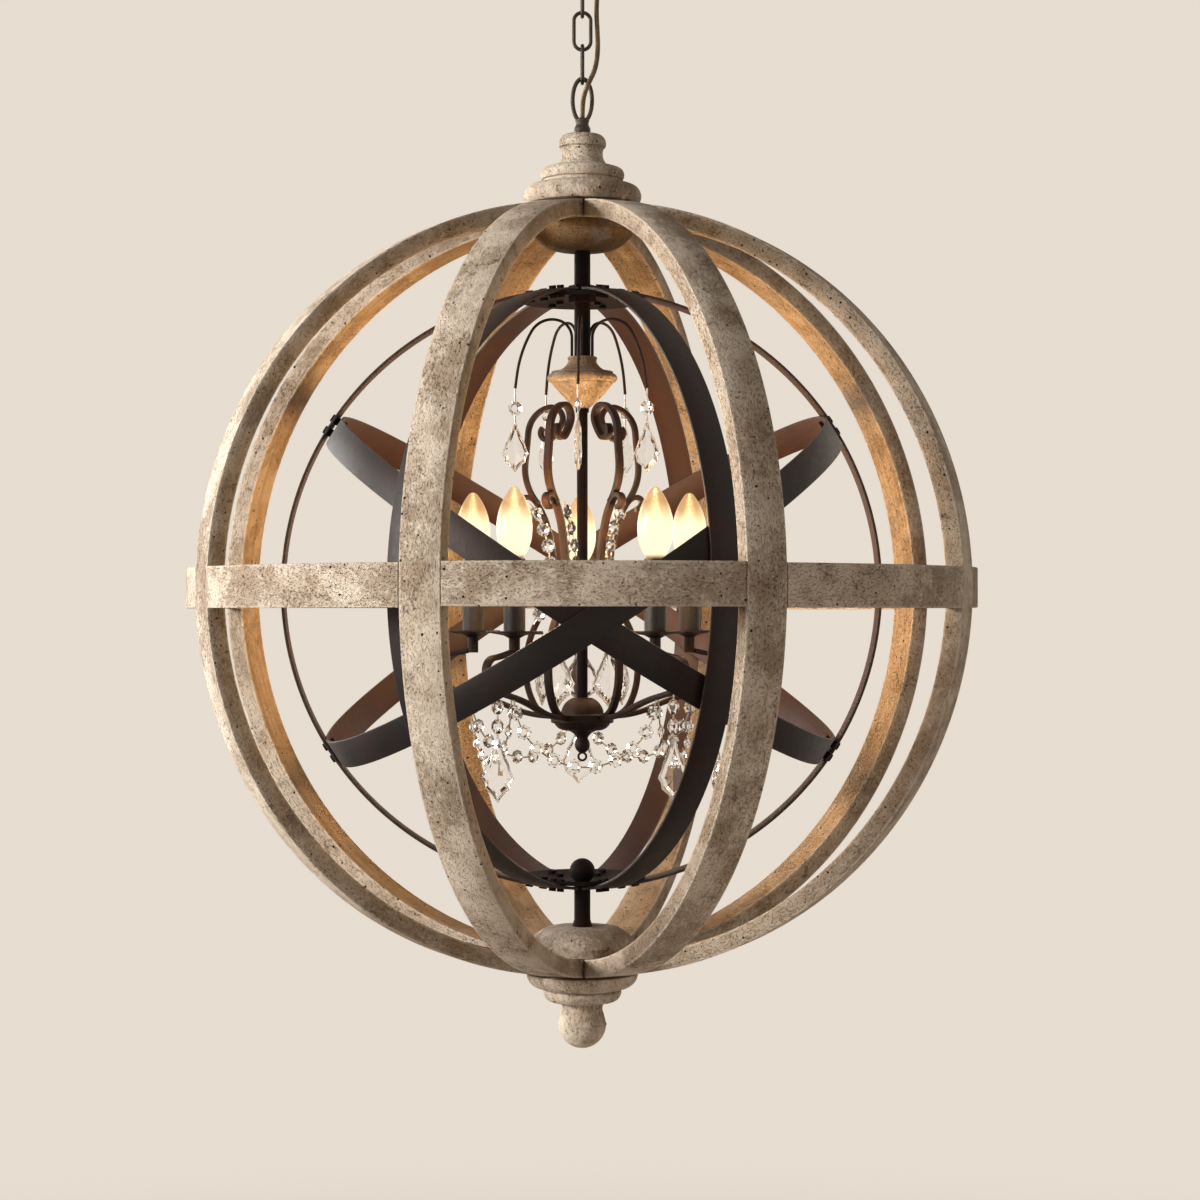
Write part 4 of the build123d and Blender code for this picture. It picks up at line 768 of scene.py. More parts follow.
# %% Crown
POLE, BORE = POLE_R / MM, 5.4
crown_step, crown_neck, crown_bead, crown_top = POLE + 20, POLE + 39, POLE + 58.5, POLE + 71.5
crown = profile(
    (BORE, POLE), (56.6, POLE), (57.5, POLE + 0.6), ((60.4, POLE + 8.6), (51.5, crown_step - 0.6), 16),
    (49.5, crown_step), (40.2, crown_step), (40.4, crown_step + 4.2), (39.2, crown_step + 4.9),
    (41.6, crown_step + 5.6), ((43, crown_step + 9), (36.5, crown_neck - 1.6), 14),
    (33.5, crown_neck - 0.5), (28.6, crown_neck - 0.2),
    ((21.2, crown_neck + 9.75), (22.0, crown_bead - 1.2), 16), (21.4, crown_bead - 0.5),
    (23.8, crown_bead + 0.4), ((24.4, crown_bead + 4), (19.4, crown_top - 0.7), 12),
    (17.6, crown_top), (BORE, crown_top), (BORE, POLE),
)
put(turned("crown_turned", turned_wood, crown), "lamp", "whitewashed_wood", "top_finial")
print("crown top", round(crown_top, 1))

# %% Drop
drop_step, drop_neck, drop_ball = POLE + 15.5, POLE + 29, POLE + 41
BALL_R, BALL_NECK_R = 24.4, 21.7
ball_low = drop_ball + sqrt(BALL_R**2 - BALL_NECK_R**2)
drop = profile(
    (BORE, POLE), (56.3, POLE), (57, POLE + 0.8), ((54.6, POLE + 8), (44, drop_step - 0.6), 14),
    (42.6, drop_step), (37, drop_step + 0.5), (39.4, drop_step + 2.2), (40, drop_step + 3.4),
    ((38.2, drop_step + 9), (31, drop_neck), 12), (29.6, drop_neck), (23.7, drop_neck - 0.3),
    ((20.7, drop_neck + 6), (BALL_NECK_R, drop_ball), 12),
    ((24.0, ball_low - 2.2), (24.4, ball_low - 0.5), 8), (24.9, ball_low - 0.2), (24.9, ball_low + 0.8),
    (24.3, ball_low + 1.2), ((17.25, ball_low + 17.25), (0, ball_low + BALL_R), 16),
)
drop = [(radius, -depth) for radius, depth in drop]
put(turned("drop_turned", turned_wood, drop), "lamp", "whitewashed_wood", "bottom_finial")
print("drop end", round(ball_low + BALL_R, 1))

# %% Dishes
RIB_INSIDE, DISH_FACE, DISH_SEAT = POLE - 18, 345.0, POLE - 18.1
DISH_DEEP, DISH_LIP = 29.5, 3
DISH_RIM = RIB_INSIDE - DISH_DEEP / 2 + DISH_LIP


def dish_outline(rim, flat, belly, way):
    """A dish under the ribs, with a flat face and a back that follows the ribs' inner arc."""
    sink = POLE_SINK / MM
    steps = (rim - DISH_LIP, rim / 2, BORE)
    back = [(radius, sqrt(DISH_SEAT**2 - (radius - sink) ** 2)) for radius in steps]
    front = profile((BORE, DISH_FACE), (flat, DISH_FACE), (belly, (rim, DISH_RIM), 14))
    return [(radius, way * height) for radius, height in front + back + [(BORE, DISH_FACE)]]


for side, wood, rim, flat, belly, way in (
    ("top", stained_wood, 51.6, 22, (42.5, 352.6), 1),
    ("bottom", turned_wood, 53.8, 27, (46, 351.8), -1),
):
    dish = turned(f"{side}_dish_turned", wood, dish_outline(rim, flat, belly, way))
    put(dish, "lamp", "whitewashed_wood", f"{side}_dish")
print("dishes, flat at", DISH_FACE)

# %% Spindle
SPINDLE_BORE, SPINDLE_TOP, SPINDLE_FOOT = 5.7, 237.0, 184
spindle = profile(
    (SPINDLE_BORE, SPINDLE_TOP), (13.8, SPINDLE_TOP), (15.1, 236.2), (15.3, 235.0), (14.6, 233.8),
    (14.5, 231.4), ((19.4, 225.4), (30.8, 221.8), 10), (31.6, 221.2), (31.5, 220.4), (30.7, 219.9),
    ((31.6, 219.4), (35.8, 215.2), (32.6, 210.8), 10), (31.2, 210.3), (31.3, 209.5), (30.6, 208.7),
    ((20.2, 196.6), (6.8, SPINDLE_FOOT), 14), (SPINDLE_BORE, SPINDLE_FOOT), (SPINDLE_BORE, SPINDLE_TOP),
)
put(turned("spindle_turned", spindle_wood, spindle), "lamp", "whitewashed_wood", "turned_spindle")
print("spindle", len(spindle), "points in its outline")

# %% [markdown]
# ## Dark iron
# The straps, hubs, stem and scrolls are iron with a dark brown, slightly rusty coat. It is almost black
# where it is clean, redder in the patches where rust shows, and half matt. A plain dark metal would look
# like plastic, so clouds, spots and grit set the rust, the gloss and the relief. Scroll work is browner
# than straps.

# %% Iron finishes
IRON_CLEAN, IRON_RUST = rgba(0.0085, 0.0070, 0.0078), rgba(0.038, 0.0095, 0.0040)
SCROLL_CLEAN, SCROLL_RUST = rgba(0.0135, 0.0052, 0.0034), rgba(0.046, 0.0125, 0.0050)
EDGE_WEAR_AND_HIGHLIGHT = rgba(0.052, 0.036, 0.028)
STRAP_WIDE, STRAP_THICK = 0.030, 0.003
SPOT_RUST, INNER_RUST_AND_GLOW, EDGE_LEAST, EDGE_MORE = 0.25, 0.65, 0.25, 0.5
IRON_RELIEF, IRON_METAL = 0.0004, 0.12


def iron(name, clean, rust, most_rust, shine, half_wide=None):
    """Dark iron with rust and shine; a strap's half width gives its inner face rust and a painted warm glow,
    and its edges wear and a painted highlight.
    """
    finish = Finish(name)
    cloud = finish.noise(finish.place, scale=14, detail=5, roughness=0.65)
    grit = finish.noise(finish.place, scale=520, detail=3, roughness=0.6)
    spots = finish.noise(finish.place, scale=130, detail=5, roughness=0.7)
    rust_and_inner_glow = cloud.over(0.44, 0.70) * most_rust + spots.over(0.60, 0.74) * SPOT_RUST
    if half_wide:
        deep, across, _ = finish.parts(finish.attribute("section"))
        # The strap's inner face is partly rust and partly a painted warm glow of the bulbs
        rust_and_inner_glow = rust_and_inner_glow + (0 - deep).over(0.0, 0.0012) * INNER_RUST_AND_GLOW
    colour = mix(rust_and_inner_glow, clean, rust)
    if half_wide:
        edge = abs(across).over(half_wide - 0.0011, half_wide - 0.0003)
        # The strap edges are partly worn and partly a painted highlight
        colour = mix(edge * (EDGE_LEAST + spots.over(0.40, 0.58) * EDGE_MORE), colour, EDGE_WEAR_AND_HIGHLIGHT)
    return finish.surface(
        Base_Color=colour, Roughness=0.64 - shine * 0.8 + spots * 0.22 + cloud * 0.1, Metallic=IRON_METAL,
        Normal=finish.bump(grit * 0.4 + spots * 0.6, IRON_RELIEF), Specular_IOR_Level=shine,
    )


strap_iron = iron("strap_iron", IRON_CLEAN, IRON_RUST, 0.40, 0.34, STRAP_WIDE / 2)
fitting_iron = iron("fitting_iron", IRON_CLEAN, IRON_RUST, 0.45, 0.10)
scroll_iron = iron("scroll_iron", SCROLL_CLEAN, SCROLL_RUST, 0.75, 0.28)
print("iron finishes", [metal.name for metal in (strap_iron, fitting_iron, scroll_iron)])

# %% [markdown]
# ## Armillary
# Six half hoops of strap stand round the axis, and two whole rings of the same strap cross inside them,
# tilted to the left and to the right. The rule for bent bars makes them all, because each is one strap
# with rounded edges on an arc.

# %% Half hoops
HOOP_MIDDLE, HOOP_SHORT = 0.3045, 0.030
HOOP_TURNS = (-90, -35, 24, 90, 155, 215)
STRAP = {"Thick": STRAP_THICK, "Wide": STRAP_WIDE, "Round": 0.0007, **UNMITRED}
hoop_end = HOOP_SHORT / HOOP_MIDDLE
for number, turn in enumerate(HOOP_TURNS):
    hoop = bent_bar.make(
        f"hoop_{number + 1}_iron", strap_iron,
        place=AT_CENTRE @ Matrix.Rotation(radians(turn - 90), 4, "Z") @ UPRIGHT,
        Radius=HOOP_MIDDLE, Start=-pi / 2 + hoop_end, Sweep=pi - 2 * hoop_end, Steps=112,
        Seed=40.0 + number, **STRAP,
    )
    put(hoop, "lamp", "dark_iron")
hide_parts("meridian_hoops")

# %% Tilted rings
RING_TILT, RING_ROLL, RING_STEPS = 33, radians(5.75), 192
RING_REACH, RING_GAP, STRAP_HALF = 302.7, 3.3, STRAP_WIDE / MM / 2


def ring_turn(tilt):
    """A ring tilted across the front, with its front edge rolled down."""
    along = Vector((cos(tilt), 0, sin(tilt)))
    up = Vector((-sin(tilt), 0, cos(tilt))) * cos(RING_ROLL) + Vector((0, -1, 0)) * sin(RING_ROLL)
    return AT_CENTRE @ Matrix((along, up.cross(along), up)).transposed().to_4x4()


outer_r = sqrt(RING_REACH**2 - STRAP_HALF**2) * MM
inner_r = sqrt((outer_r / MM - RING_GAP) ** 2 - STRAP_HALF**2) * MM
for name, radius, tilt in (("outer", outer_r, RING_TILT), ("inner", inner_r, -RING_TILT)):
    ring = bent_bar.make(
        f"ring_{name}_iron", strap_iron, place=ring_turn(radians(tilt)), Radius=radius - STRAP_THICK / 2,
        Start=0.0, Sweep=2 * pi * (RING_STEPS - 1) / RING_STEPS, Steps=RING_STEPS, Closed=True,
        Seed=60.0 + tilt, **STRAP,
    )
    put(ring, "lamp", "dark_iron", f"tilted_ring_{name}")
print("ring radii", round(outer_r, 4), round(inner_r, 4))

# %% [markdown]
# ## Scroll arms and spray wires
# Each of the five arms is three flat bars, bent into scrolls and welded: a lyre, a belly scroll and the
# candle arm. Free curves could be drawn over the picture, but a smith bends such a bar so that every
# curve runs on smoothly from the last. The paths do the same: each arc starts in the direction in which
# the one before it ended. Five thin wires spray from the stem in the same way.

# %% Tangent arcs
ARC_STEPS = 12


def scroll(points, heading):
    """A path through points in millimetres, as arcs that run on from a first heading in degrees."""
    place = Vector(points[0])
    ahead = Vector((cos(radians(heading)), sin(radians(heading))))
    path = [place]
    for goal in points[1:]:
        step = Vector(goal) - place
        side = Vector((-ahead.y, ahead.x))
        half = atan2(step.dot(side), step.dot(ahead))
        radius = step.length / (2 * sin(half))
        for i in range(1, ARC_STEPS + 1):
            turn = 2 * half * i / ARC_STEPS
            path.append(place + radius * (sin(turn) * ahead + (1 - cos(turn)) * side))
        ahead = cos(2 * half) * ahead + sin(2 * half) * side
        place = Vector(goal)
    return path


def five_from(first):
    return {"Copies": 5, "First": first, "Step": FIFTH_TURN}


# %% Scroll arms
SCROLLS = {
    "lyre": (47, ((47, 87), (61, 130), (58, 160), (36, 186), (22, 169), (32, 154.5), (42, 165))),
    "belly": (5, (
        (32.3, -131), (52, -118), (60, -92), (45.5, -29.5), (31, 33), (38, 66), (49, 88), (58, 94), (65, 88),
        (58, 81.5),
    )),
    "candle": (0, (
        (32.3, -131), (77, -122), (122, -107.7), (146, -102.3), (164, -86), (153, -69), (123.7, -64),
    )),
}
SCROLL_BAR = {"Thick": 0.005, "Wide": 0.008, "Round": 0.0009, "Seed": 70.0}
PEG_LINE, PEG_R = [metres(42, 0, -46), metres(54, 0, -46)], 0.0012
for name, (heading, points) in SCROLLS.items():
    path = [(*metres(*point), 0) for point in scroll(points, heading)]
    bars = drawn_bar.make(
        f"arm_{name}_scrolls", scroll_iron, path, AT_CENTRE, **SCROLL_BAR, **five_from(ARM_FIRST)
    )
    put(bars, "lamp", "dark_iron")
pegs = drawn_wire.make(
    "arm_pegs", scroll_iron, PEG_LINE, AT_CENTRE,
    Radius=PEG_R, Closed=False, Seed=71.0, **five_from(ARM_FIRST),
)
put(pegs, "lamp", "dark_iron")
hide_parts("scroll_arms")

# %% Spray wires
SPRAY_FIRST, SPRAY_R, SPRAY_FOOT = -95, 0.0015, (11, 237)
SPRAY_BEND = ((11, 256), (24.3, 273.4), (53.5, 261.3), (68.4, 218), (70.4, 203))
spray = [metres(point.x, 0, point.y) for point in [Vector(SPRAY_FOOT)] + scroll(SPRAY_BEND, 90)]
wires = drawn_wire.make(
    "spray_wires_bent", scroll_iron, spray, AT_CENTRE,
    Radius=SPRAY_R, Closed=False, Seed=72.0, **five_from(radians(SPRAY_FIRST)),
)
put(wires, "lamp", "dark_iron", "spray_wires")
print("spray points", len(spray))

# %% [markdown]
# ## Bottom bowl
# The arms meet on the rim of a turned iron bowl. A low dome stands on the rim, and below the rim an ogee
# runs down to a ball with a small eye. The solid gives it more plainly, so it is spun here like the
# turned wood, and its eye is a bent wire.

# %% Bowl and its eye
def oval(half_wide, half_tall, middle, steps):
    """The corners of an upright oval across the front, from sizes in millimetres."""
    turns = [2 * pi * i / steps for i in range(steps)]
    return [metres(half_wide * sin(turn), 0, middle + half_tall * cos(turn)) for turn in turns]


EYE_R, EYE_MIDDLE, EYE_WIRE = 4, -171.7, 0.0012
bowl = profile(
    (0, -111.0), ((7.5, -111.0), (17.0, -116.6), (22.0, -127.6), 10), (22.2, -128.0), (31.2, -128.0),
    (32.0, -128.8), (32.0, -136.4), (31.4, -137.2), (28.6, -137.8), ((24.6, -142.6), (17.0, -145.0), 8),
    ((9.6, -147.8), (5.6, -152.6), 8), ((5.2, -153.3), (7.7, -161.0), (0, -168.7), 12),
)
put(turned("bowl_turned", scroll_iron, bowl), "lamp", "dark_iron", "bottom_bowl")
eye = drawn_wire.make(
    "bowl_eye_bent", scroll_iron, oval(EYE_R, EYE_R, EYE_MIDDLE, 24), AT_CENTRE,
    Radius=EYE_WIRE, Closed=True, Seed=41.0, **ONCE,
)
put(eye, "lamp", "dark_iron")
print("bowl", len(bowl), "points in its outline")

# %% [markdown]
# ## Crystals
# The crystals are pressed clear glass: flat octagon beads and notched leaf drops, joined by small bright
# pins. Smooth solids of glass would only look like water. The sparkle comes from flat facets, so they are
# built facet by facet and shaded flat. Clear glass needs no pattern, only a faint cast, a few cloudy
# spots and frosted rims.

# %% Crystal and pin finishes
FACTOR_OUT = 2
crystal_finish = Finish("pressed_crystal")
crystal_cloud = crystal_finish.noise(crystal_finish.place, scale=240, detail=3, roughness=0.5)
rim_frost = crystal_finish.attribute("rim", FACTOR_OUT)
crystal = crystal_finish.surface(
    Base_Color=mix(crystal_cloud.over(0.45, 0.75), rgba(0.99, 0.985, 0.975), rgba(0.93, 0.90, 0.84)),
    Roughness=0.012 + crystal_cloud.over(0.5, 0.8) * 0.05 + rim_frost.over(0.25, 1.0) * 0.42,
    Transmission_Weight=1.0, IOR=1.54,
)
pin_finish = Finish("bright_pins")
pin_cloud = pin_finish.noise(pin_finish.place, scale=300, detail=3, roughness=0.6)
pin_metal = pin_finish.surface(
    Base_Color=mix(pin_cloud.over(0.4, 0.7), rgba(0.55, 0.50, 0.42), rgba(0.34, 0.27, 0.18)),
    Roughness=0.25 + pin_cloud * 0.2, Metallic=1.0,
)
print("crystal finishes", crystal.name, pin_metal.name)


# %% Leaf drop
DOWN = Vector((0, 0, -1))
# Half the leaf's rim: shares of its half width and of its length, down from the top
LEAF_SIDE = ((0.12, 0.0), (0.33, 0.19), (0.68, 0.38), (1.0, 0.61), (0.74, 0.79))
LEAF_TIP, LEAF_MIDDLE, LEAF_BEVEL = (0.0, 1.0), 0.57, 0.74
LEAF_RIM_HALF, LEAF_BEVEL_HALF, LEAF_PEAK_HALF = 0.0008, 0.0032, 0.0036
NOTCH_IN, NOTCH_UP, NOTCH_SINK = 0.93, 0.98, 0.004


def leaf_outline(wide, long):
    """The leaf's rim in metres, across and down; small notches part its scallops."""
    side = []
    for (u, v), (next_u, next_v) in zip(LEAF_SIDE, LEAF_SIDE[1:] + (LEAF_TIP,)):
        side.append((u, v))
        side.append(((u + next_u) / 2 * NOTCH_IN, (v + next_v) / 2 * NOTCH_UP + NOTCH_SINK))
    half = [(u * wide / 2, v * long) for u, v in side]
    return half + [(0.0, long)] + [(-u, v) for u, v in reversed(half)]


def add_leaf(build, place, across, through, wide, long):
    """A scalloped leaf: a thin rim, a ring of sloping facets and a nearly flat middle on both faces."""
    rim = leaf_outline(wide, long)
    middle = (0.0, long * LEAF_MIDDLE)
    frost = build.verts.layers.float.get("rim") or build.verts.layers.float.new("rim")

    def spot(u, v, w, rim_share=0.0):
        corner = build.verts.new(place + across * u + DOWN * v + through * w)
        corner[frost] = rim_share
        return corner

    def inset(point):
        return tuple(m + (p - m) * LEAF_BEVEL for p, m in zip(point, middle))

    edges = []
    for way in (1, -1):
        outer = [spot(u, v, way * LEAF_RIM_HALF, 1.0) for u, v in rim]
        inner = [spot(*inset(point), way * LEAF_BEVEL_HALF) for point in rim]
        peak = spot(*middle, way * LEAF_PEAK_HALF)
        for i in range(len(rim)):
            j = (i + 1) % len(rim)
            build.faces.new((outer[i], outer[j], inner[j]))
            build.faces.new((outer[i], inner[j], inner[i]))
            build.faces.new((inner[i], inner[j], peak))
        edges.append(outer)
    front, back = edges
    for i in range(len(rim)):
        j = (i + 1) % len(rim)
        build.faces.new((front[i], back[i], back[j], front[j]))


# %% Bead and pin
BEAD_R, BEAD_TABLE_R, BEAD_DEEP, BEAD_EDGE = 0.00758, 0.0031, 0.0029, 0.0005
BEAD_PITCH = 0.014
PIN_R = 0.0009


def add_bead(build, place, across, through):
    """An octagon bead: a thin rim and a sloping ring to a flat table on both faces."""
    spread = [across * cos(turn) + DOWN * sin(turn) for turn in (pi / 8 + pi / 4 * i for i in range(8))]

    def loop(radius, depth):
        return [build.verts.new(place + out * radius + through * depth) for out in spread]

    rings = [loop(BEAD_TABLE_R, BEAD_DEEP), loop(BEAD_R, BEAD_EDGE)]
    rings += [loop(BEAD_R, -BEAD_EDGE), loop(BEAD_TABLE_R, -BEAD_DEEP)]
    join_rings(build, rings)
    build.faces.new(rings[0])
    build.faces.new(rings[-1])


def add_pin(build, place, long):
    """A round pin that hangs straight down."""
    side = DOWN.orthogonal().normalized()
    front = DOWN.cross(side)
    spread = [(side * cos(pi / 4 * i) + front * sin(pi / 4 * i)) * PIN_R for i in range(8)]
    rings = [[build.verts.new(place + DOWN * depth + out) for out in spread] for depth in (0.0, long)]
    join_rings(build, rings)
    build.faces.new(rings[0])
    build.faces.new(rings[1])


def facet_piece(name, build, finish):
    """A piece with flat facets."""
    mesh = finished_mesh(name, build, finish)
    mesh.shade_flat()
    return add_object(name, mesh)


# %% Hang the drops
# First turn, radius and height; the chain from its top, with pins as lengths; the leaf's width and length;
# and whether the leaf's edge faces the axis
DROPS = {
    "upper": (-95, 70.4, 202.5, (13, "bead", 8, "leaf"), (28, 50), True),
    "inner": (-54, 43, -47.8, (12, "leaf"), (40, 60), False),
    "lower": (-54, 146, -104.8, (5, "bead", 5, "bead", 5, "leaf"), (38, 62), False),
}
for kind, (first, radius, height, chain, leaf, edge_on) in DROPS.items():
    for number in range(5):
        angle = radians(first) + FIFTH_TURN * number
        out, along = Vector((cos(angle), sin(angle), 0)), Vector((-sin(angle), cos(angle), 0))
        across, through = (out, along) if edge_on else (along, out)
        place = CENTRE + out * radius * MM + Vector((0, 0, height * MM))
        glass, metal = bmesh.new(), bmesh.new()
        for link in chain:
            if link == "bead":
                add_bead(glass, place + DOWN * BEAD_PITCH / 2, across, through)
                place = place + DOWN * BEAD_PITCH
            elif link == "leaf":
                add_leaf(glass, place, across, through, *metres(*leaf))
            else:
                add_pin(metal, place, link * MM)
                place = place + DOWN * (link * MM)
        body = f"{kind}_pendant_{number + 1}"
        put(facet_piece(f"{body}_crystal", glass, crystal), body, "crystal", body)
        put(facet_piece(f"{body}_pins", metal, pin_metal), body, "plated_steel")
print("drops", 5 * len(DROPS))

# %% [markdown]
# ## Bead swags and strings
# Between the candle arms hang swags of ten beads, and a string of seven beads runs down each belly
# scroll. The beads could be copied one by one, but they repeat along a path. So one more rule sets beads
# along it, another sets the short wire links between them, and both repeat the string round the axis.

# %% Bead and link rules
LINK_R, MERGE = 0.0008, 0.00001
RUN_INPUTS = {"Start": "Float", "End": "Float"}
bead_string = Rule("bead_string", {"Beads": "Int", **RUN_INPUTS, "Facing": "Vector", **REPEAT_INPUTS})
half_bead = bead_string.node(
    "GeometryNodeMeshCone", {"fill_type": "NGON"}, Vertices=8, Side_Segments=1, Radius_Top=BEAD_TABLE_R,
    Radius_Bottom=BEAD_R, Depth=BEAD_DEEP,
)
other_half = bead_string.node("GeometryNodeTransform", Geometry=half_bead, Rotation=(pi, 0, 0))
halves = bead_string.tree.nodes.new("GeometryNodeJoinGeometry")
for half in (half_bead, other_half):
    bead_string.tree.links.new(half.socket, halves.inputs[0])
whole_bead = bead_string.node(
    "GeometryNodeMergeByDistance", Geometry=Wire(bead_string.tree, halves.outputs[0]), Distance=MERGE
)
beads_set = bead_string.node(
    "GeometryNodeInstanceOnPoints", Points=bead_string.spots("Beads")[0], Instance=whole_bead,
    Rotation=bead_string.given("Facing"),
)
bead_string.close(bead_string.ring(beads_set))

bead_links = Rule("bead_links", {"Links": "Int", **RUN_INPUTS, "Long": "Float", **REPEAT_INPUTS})
link_spots, _, _, link_turns = bead_links.spots("Links")
link_pin = bead_links.node(
    "GeometryNodeMeshCylinder", Vertices=8, Radius=LINK_R, Depth=bead_links.given("Long")
)
links_set = bead_links.node(
    "GeometryNodeInstanceOnPoints", Points=link_spots, Instance=link_pin, Rotation=link_turns
)
bead_links.close(bead_links.ring(links_set))
print("rules", bead_string.tree.name, bead_links.tree.name)

# %% Hang the swags and strings
SWAG_X, SWAG_END_Y, SWAG_END_Z, SWAG_MID_Z = 98.7, 69.7, -110.8, -176.8
STRING_Y = 13
LINK_LAP, FACETED = 0.003, 1
swag_flat = profile((-SWAG_END_Y, SWAG_END_Z), ((0, SWAG_MID_Z), (SWAG_END_Y, SWAG_END_Z), 48))
string_flat = profile((50, 84), ((31, 33), (46, -34), 40))
swag_line = [metres(SWAG_X, y, z) for y, z in swag_flat]
string_line = [metres(x, STRING_Y, z) for x, z in string_flat]
for name, line, beads, lead, facing, first in (
    ("swag", swag_line, 10, 0.06, (0, pi / 2, 0), ARM_FIRST + FIFTH_TURN / 2),
    ("string", string_line, 7, 0.07, (pi / 2, 0, 0), ARM_FIRST),
):
    strung = bead_string.make(
        f"{name}_beads", crystal, line, AT_CENTRE, sharp=FACETED, Beads=beads, Start=lead, End=1 - lead,
        Facing=facing, **five_from(first),
    )
    half_step = (1 - 2 * lead) / (beads - 1) / 2
    link_long = 2 * half_step * run_length(line) - 2 * BEAD_R + LINK_LAP
    thread = bead_links.make(
        f"{name}_links", pin_metal, line, AT_CENTRE, Links=beads + 1, Start=lead - half_step,
        End=1 - lead + half_step, Long=link_long, **five_from(first),
    )
    put(strung, "lamp", "crystal")
    put(thread, "lamp", "plated_steel")
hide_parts("bead_garlands")

# %% [markdown]
# ## Candle bulbs
# Each bulb is a clear candle bulb that glows: nearly white low in the glass, amber towards its tip, with
# a brass cap below. Glass, filament and cap could be made one by one, but the solid's shape is right, so
# only a finish is made here, which changes with height. The small lamp inside each bulb lights the globe.

# %% Candle bulb finish
BRASS, DARK_GLASS = rgba(0.42, 0.27, 0.10), rgba(0.03, 0.025, 0.018)
GLOW_LOW, GLOW_HIGH = rgba(1.0, 0.84, 0.54), rgba(0.44, 0.25, 0.10)
# Heights above the globe's centre
CAP_TOP, AMBER_RISE, SWIRL_SHIFT = (0.028, 0.034), (0.056, 0.088), 0.014
bulb_finish = Finish("candle_bulb")
above = bulb_finish.parts(bulb_finish.place)[2] - GLOBE_Z
swirl = bulb_finish.noise(bulb_finish.place, scale=60, detail=3, roughness=0.5)
glow = above.over(*CAP_TOP)
amber = (above + (swirl - 0.5) * SWIRL_SHIFT).over(*AMBER_RISE)
bulb_finish.surface(
    Base_Color=mix(glow, BRASS, DARK_GLASS), Roughness=0.22 + swirl * 0.1, Metallic=1 - glow,
    Emission_Color=mix(glow, BLACK, mix(amber, GLOW_LOW, GLOW_HIGH)), Emission_Strength=1.3,
    Alpha=1 - amber * 0.4,
)
print("bulb finish", bulb_finish.material.name)

# %% [markdown]
# ## Plain finishes
# The chain, canopy, bracket, sleeves, sockets and dowels are small or out of the light. One formula
# serves them all: two colours in clouds, with some grit. It keeps them from looking flat without a
# formula for each.

# %% Plain finishes
# Both colours, the clouds' scale, roughness, metal and depth of the relief
PLAIN = {
    "aged_bronze_chain": ((0.022, 0.016, 0.011), (0.050, 0.034, 0.020), 70, 0.42, 0.4, 0.0003),
    "zinc_plate": ((0.50, 0.51, 0.52), (0.62, 0.62, 0.60), 60, 0.3, 0.9, 0.0002),
    "dark_candle_sleeve": ((0.010, 0.008, 0.008), (0.022, 0.015, 0.012), 55, 0.4, 0.1, 0.0005),
    "black_socket": ((0.012, 0.012, 0.012), (0.03, 0.03, 0.03), 90, 0.45, 0.0, 0.0003),
    "bare_dowel": ((0.50, 0.37, 0.22), (0.36, 0.24, 0.13), 60, 0.7, 0.0, 0.0005),
}
GRIT_FINER = 9


def plain_finish(name, first, second, scale, rough, metal, depth):
    finish = Finish(name)
    cloud = finish.noise(finish.place, scale=scale, detail=5, roughness=0.62)
    grit = finish.noise(finish.place, scale=scale * GRIT_FINER, detail=3, roughness=0.6)
    return finish.surface(
        Base_Color=mix(cloud.over(0.38, 0.66), rgba(*first), rgba(*second)), Roughness=rough + cloud * 0.2,
        Metallic=metal, Normal=finish.bump(grit + cloud, depth),
    )


bronze, zinc, dark_sleeve, socket_black, dowel_wood = (
    plain_finish(name, *values) for name, values in PLAIN.items()
)
print("plain finishes", list(PLAIN))

# %% [markdown]
# ## Lamp loop
# The lamp hangs by an oval loop on a small vase-shaped collar. The solid has a plain ring, which keeps
# the chain's opening simple. Here the loop is a wire bent along an oval, and the collar is turned.

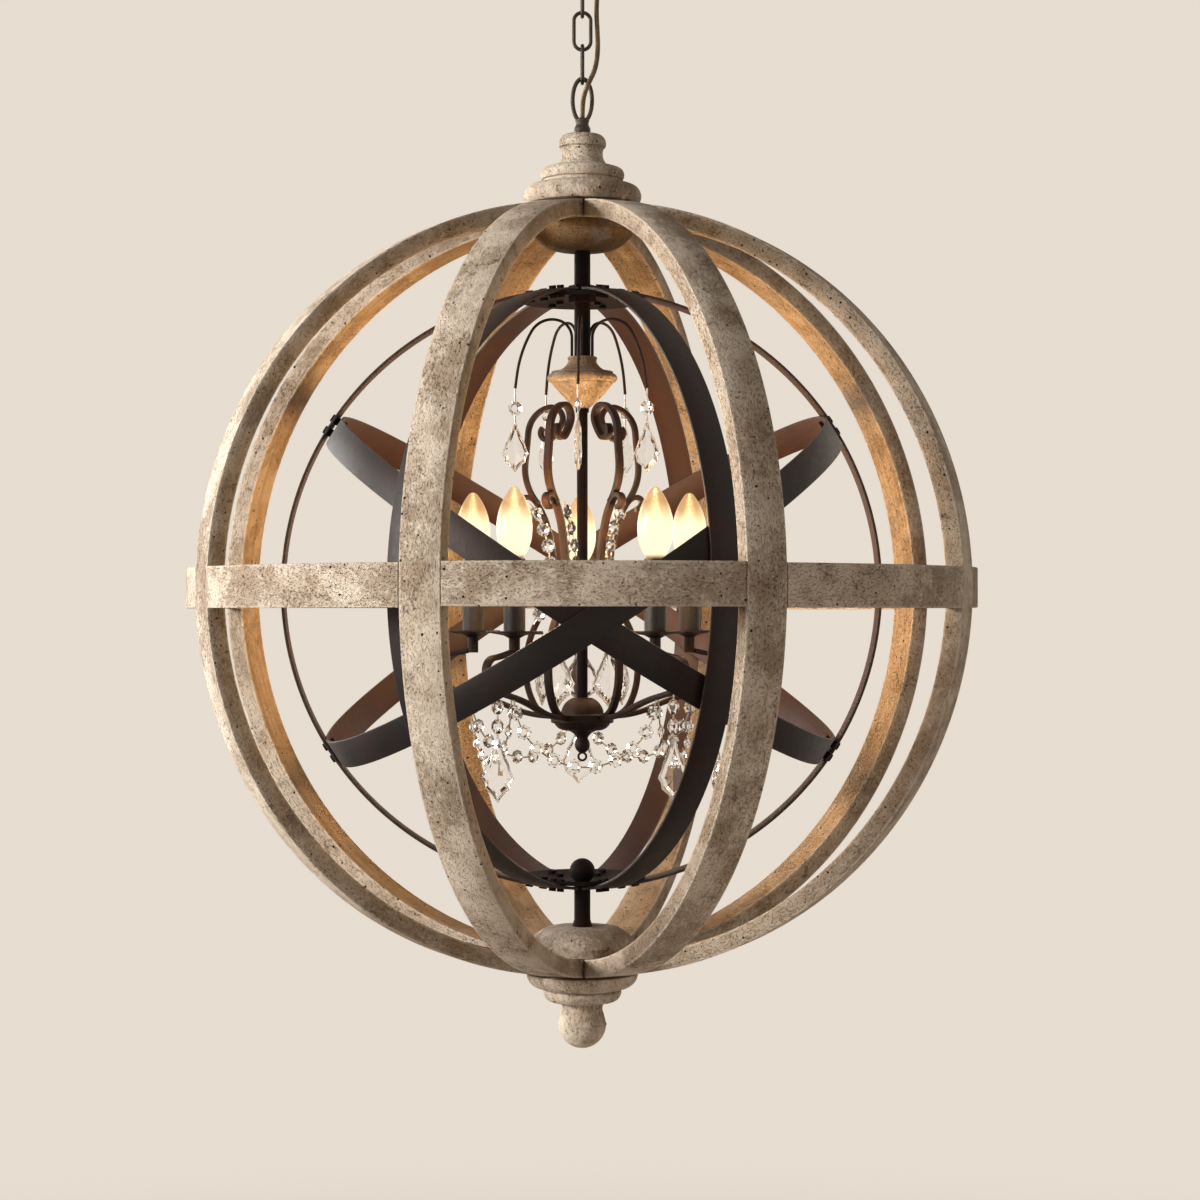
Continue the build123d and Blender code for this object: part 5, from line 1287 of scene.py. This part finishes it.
# %% Loop and collar
LOOP_HALF_WIDE, LOOP_HALF_TALL, LOOP_MIDDLE, LOOP_WIRE = 9.95, 22.2, -186.9, 0.0022
COLLAR_FOOT, COLLAR_TOP = -222.4, -205.4
loop = drawn_wire.make(
    "lamp_loop_bent", bronze, oval(LOOP_HALF_WIDE, LOOP_HALF_TALL, LOOP_MIDDLE, 48),
    Radius=LOOP_WIRE, Closed=True, Seed=73.0, **ONCE,
)
put(loop, "lamp", "aged_bronze", "lamp_loop")
collar = profile(
    (0, COLLAR_FOOT), (8.9, COLLAR_FOOT), (8.9, -221.4), (8.0, -220.8), (8.0, -220.0),
    ((8.5, -217.2), (7.0, -213.4), 8), ((6.5, -211.0), (7.1, -208.6), 6),
    ((7.0, -206.6), (5.6, COLLAR_TOP), 6), (0, COLLAR_TOP),
)
put(turned("lamp_collar_turned", bronze, collar, Vector((0, 0, 0)), 48), "lamp", "aged_bronze")
print("loop", 2 * LOOP_HALF_TALL, "mm tall at its wire's middle")

# %% [markdown]
# ## Pieces that keep their solids
# Hubs, stems, bolts, pans, sleeves, chain and canopy already have their real shapes. To make them again
# would gain nothing, so they only get a finish. The bulbs cast no shadow, so that their own lamps shine
# out of them.

# %% Finishes of the kept solids
bulbs = [f"bulb_{number}" for number in range(1, 6)]
KEPT = {
    fitting_iron: ("top_hub", "bottom_hub", "stem_tube", "lower_stem", "ball_nut", "cage_fasteners"),
    scroll_iron: ("drip_pans",),
    bronze: ("ceiling_canopy", "canopy_loop", "chain_link_1", "chain_link_2", "chain_link_3"),
    zinc: ("mounting_bracket", "canopy_nipple"),
    dark_sleeve: ("candle_sleeves",),
    socket_black: ("lampholders",),
    dowel_wood: ("band_dowels",),
    bulb_finish.material: bulbs,
}
for finish, nodes in KEPT.items():
    for node in nodes:
        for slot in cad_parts[node].material_slots:
            slot.material = finish
for bulb in bulbs:
    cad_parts[bulb].visible_shadow = False
print("kept solids", sum(len(nodes) for nodes in KEPT.values()))

# %% [markdown]
# ## End

# %% Sizes
print("lamp dressed")
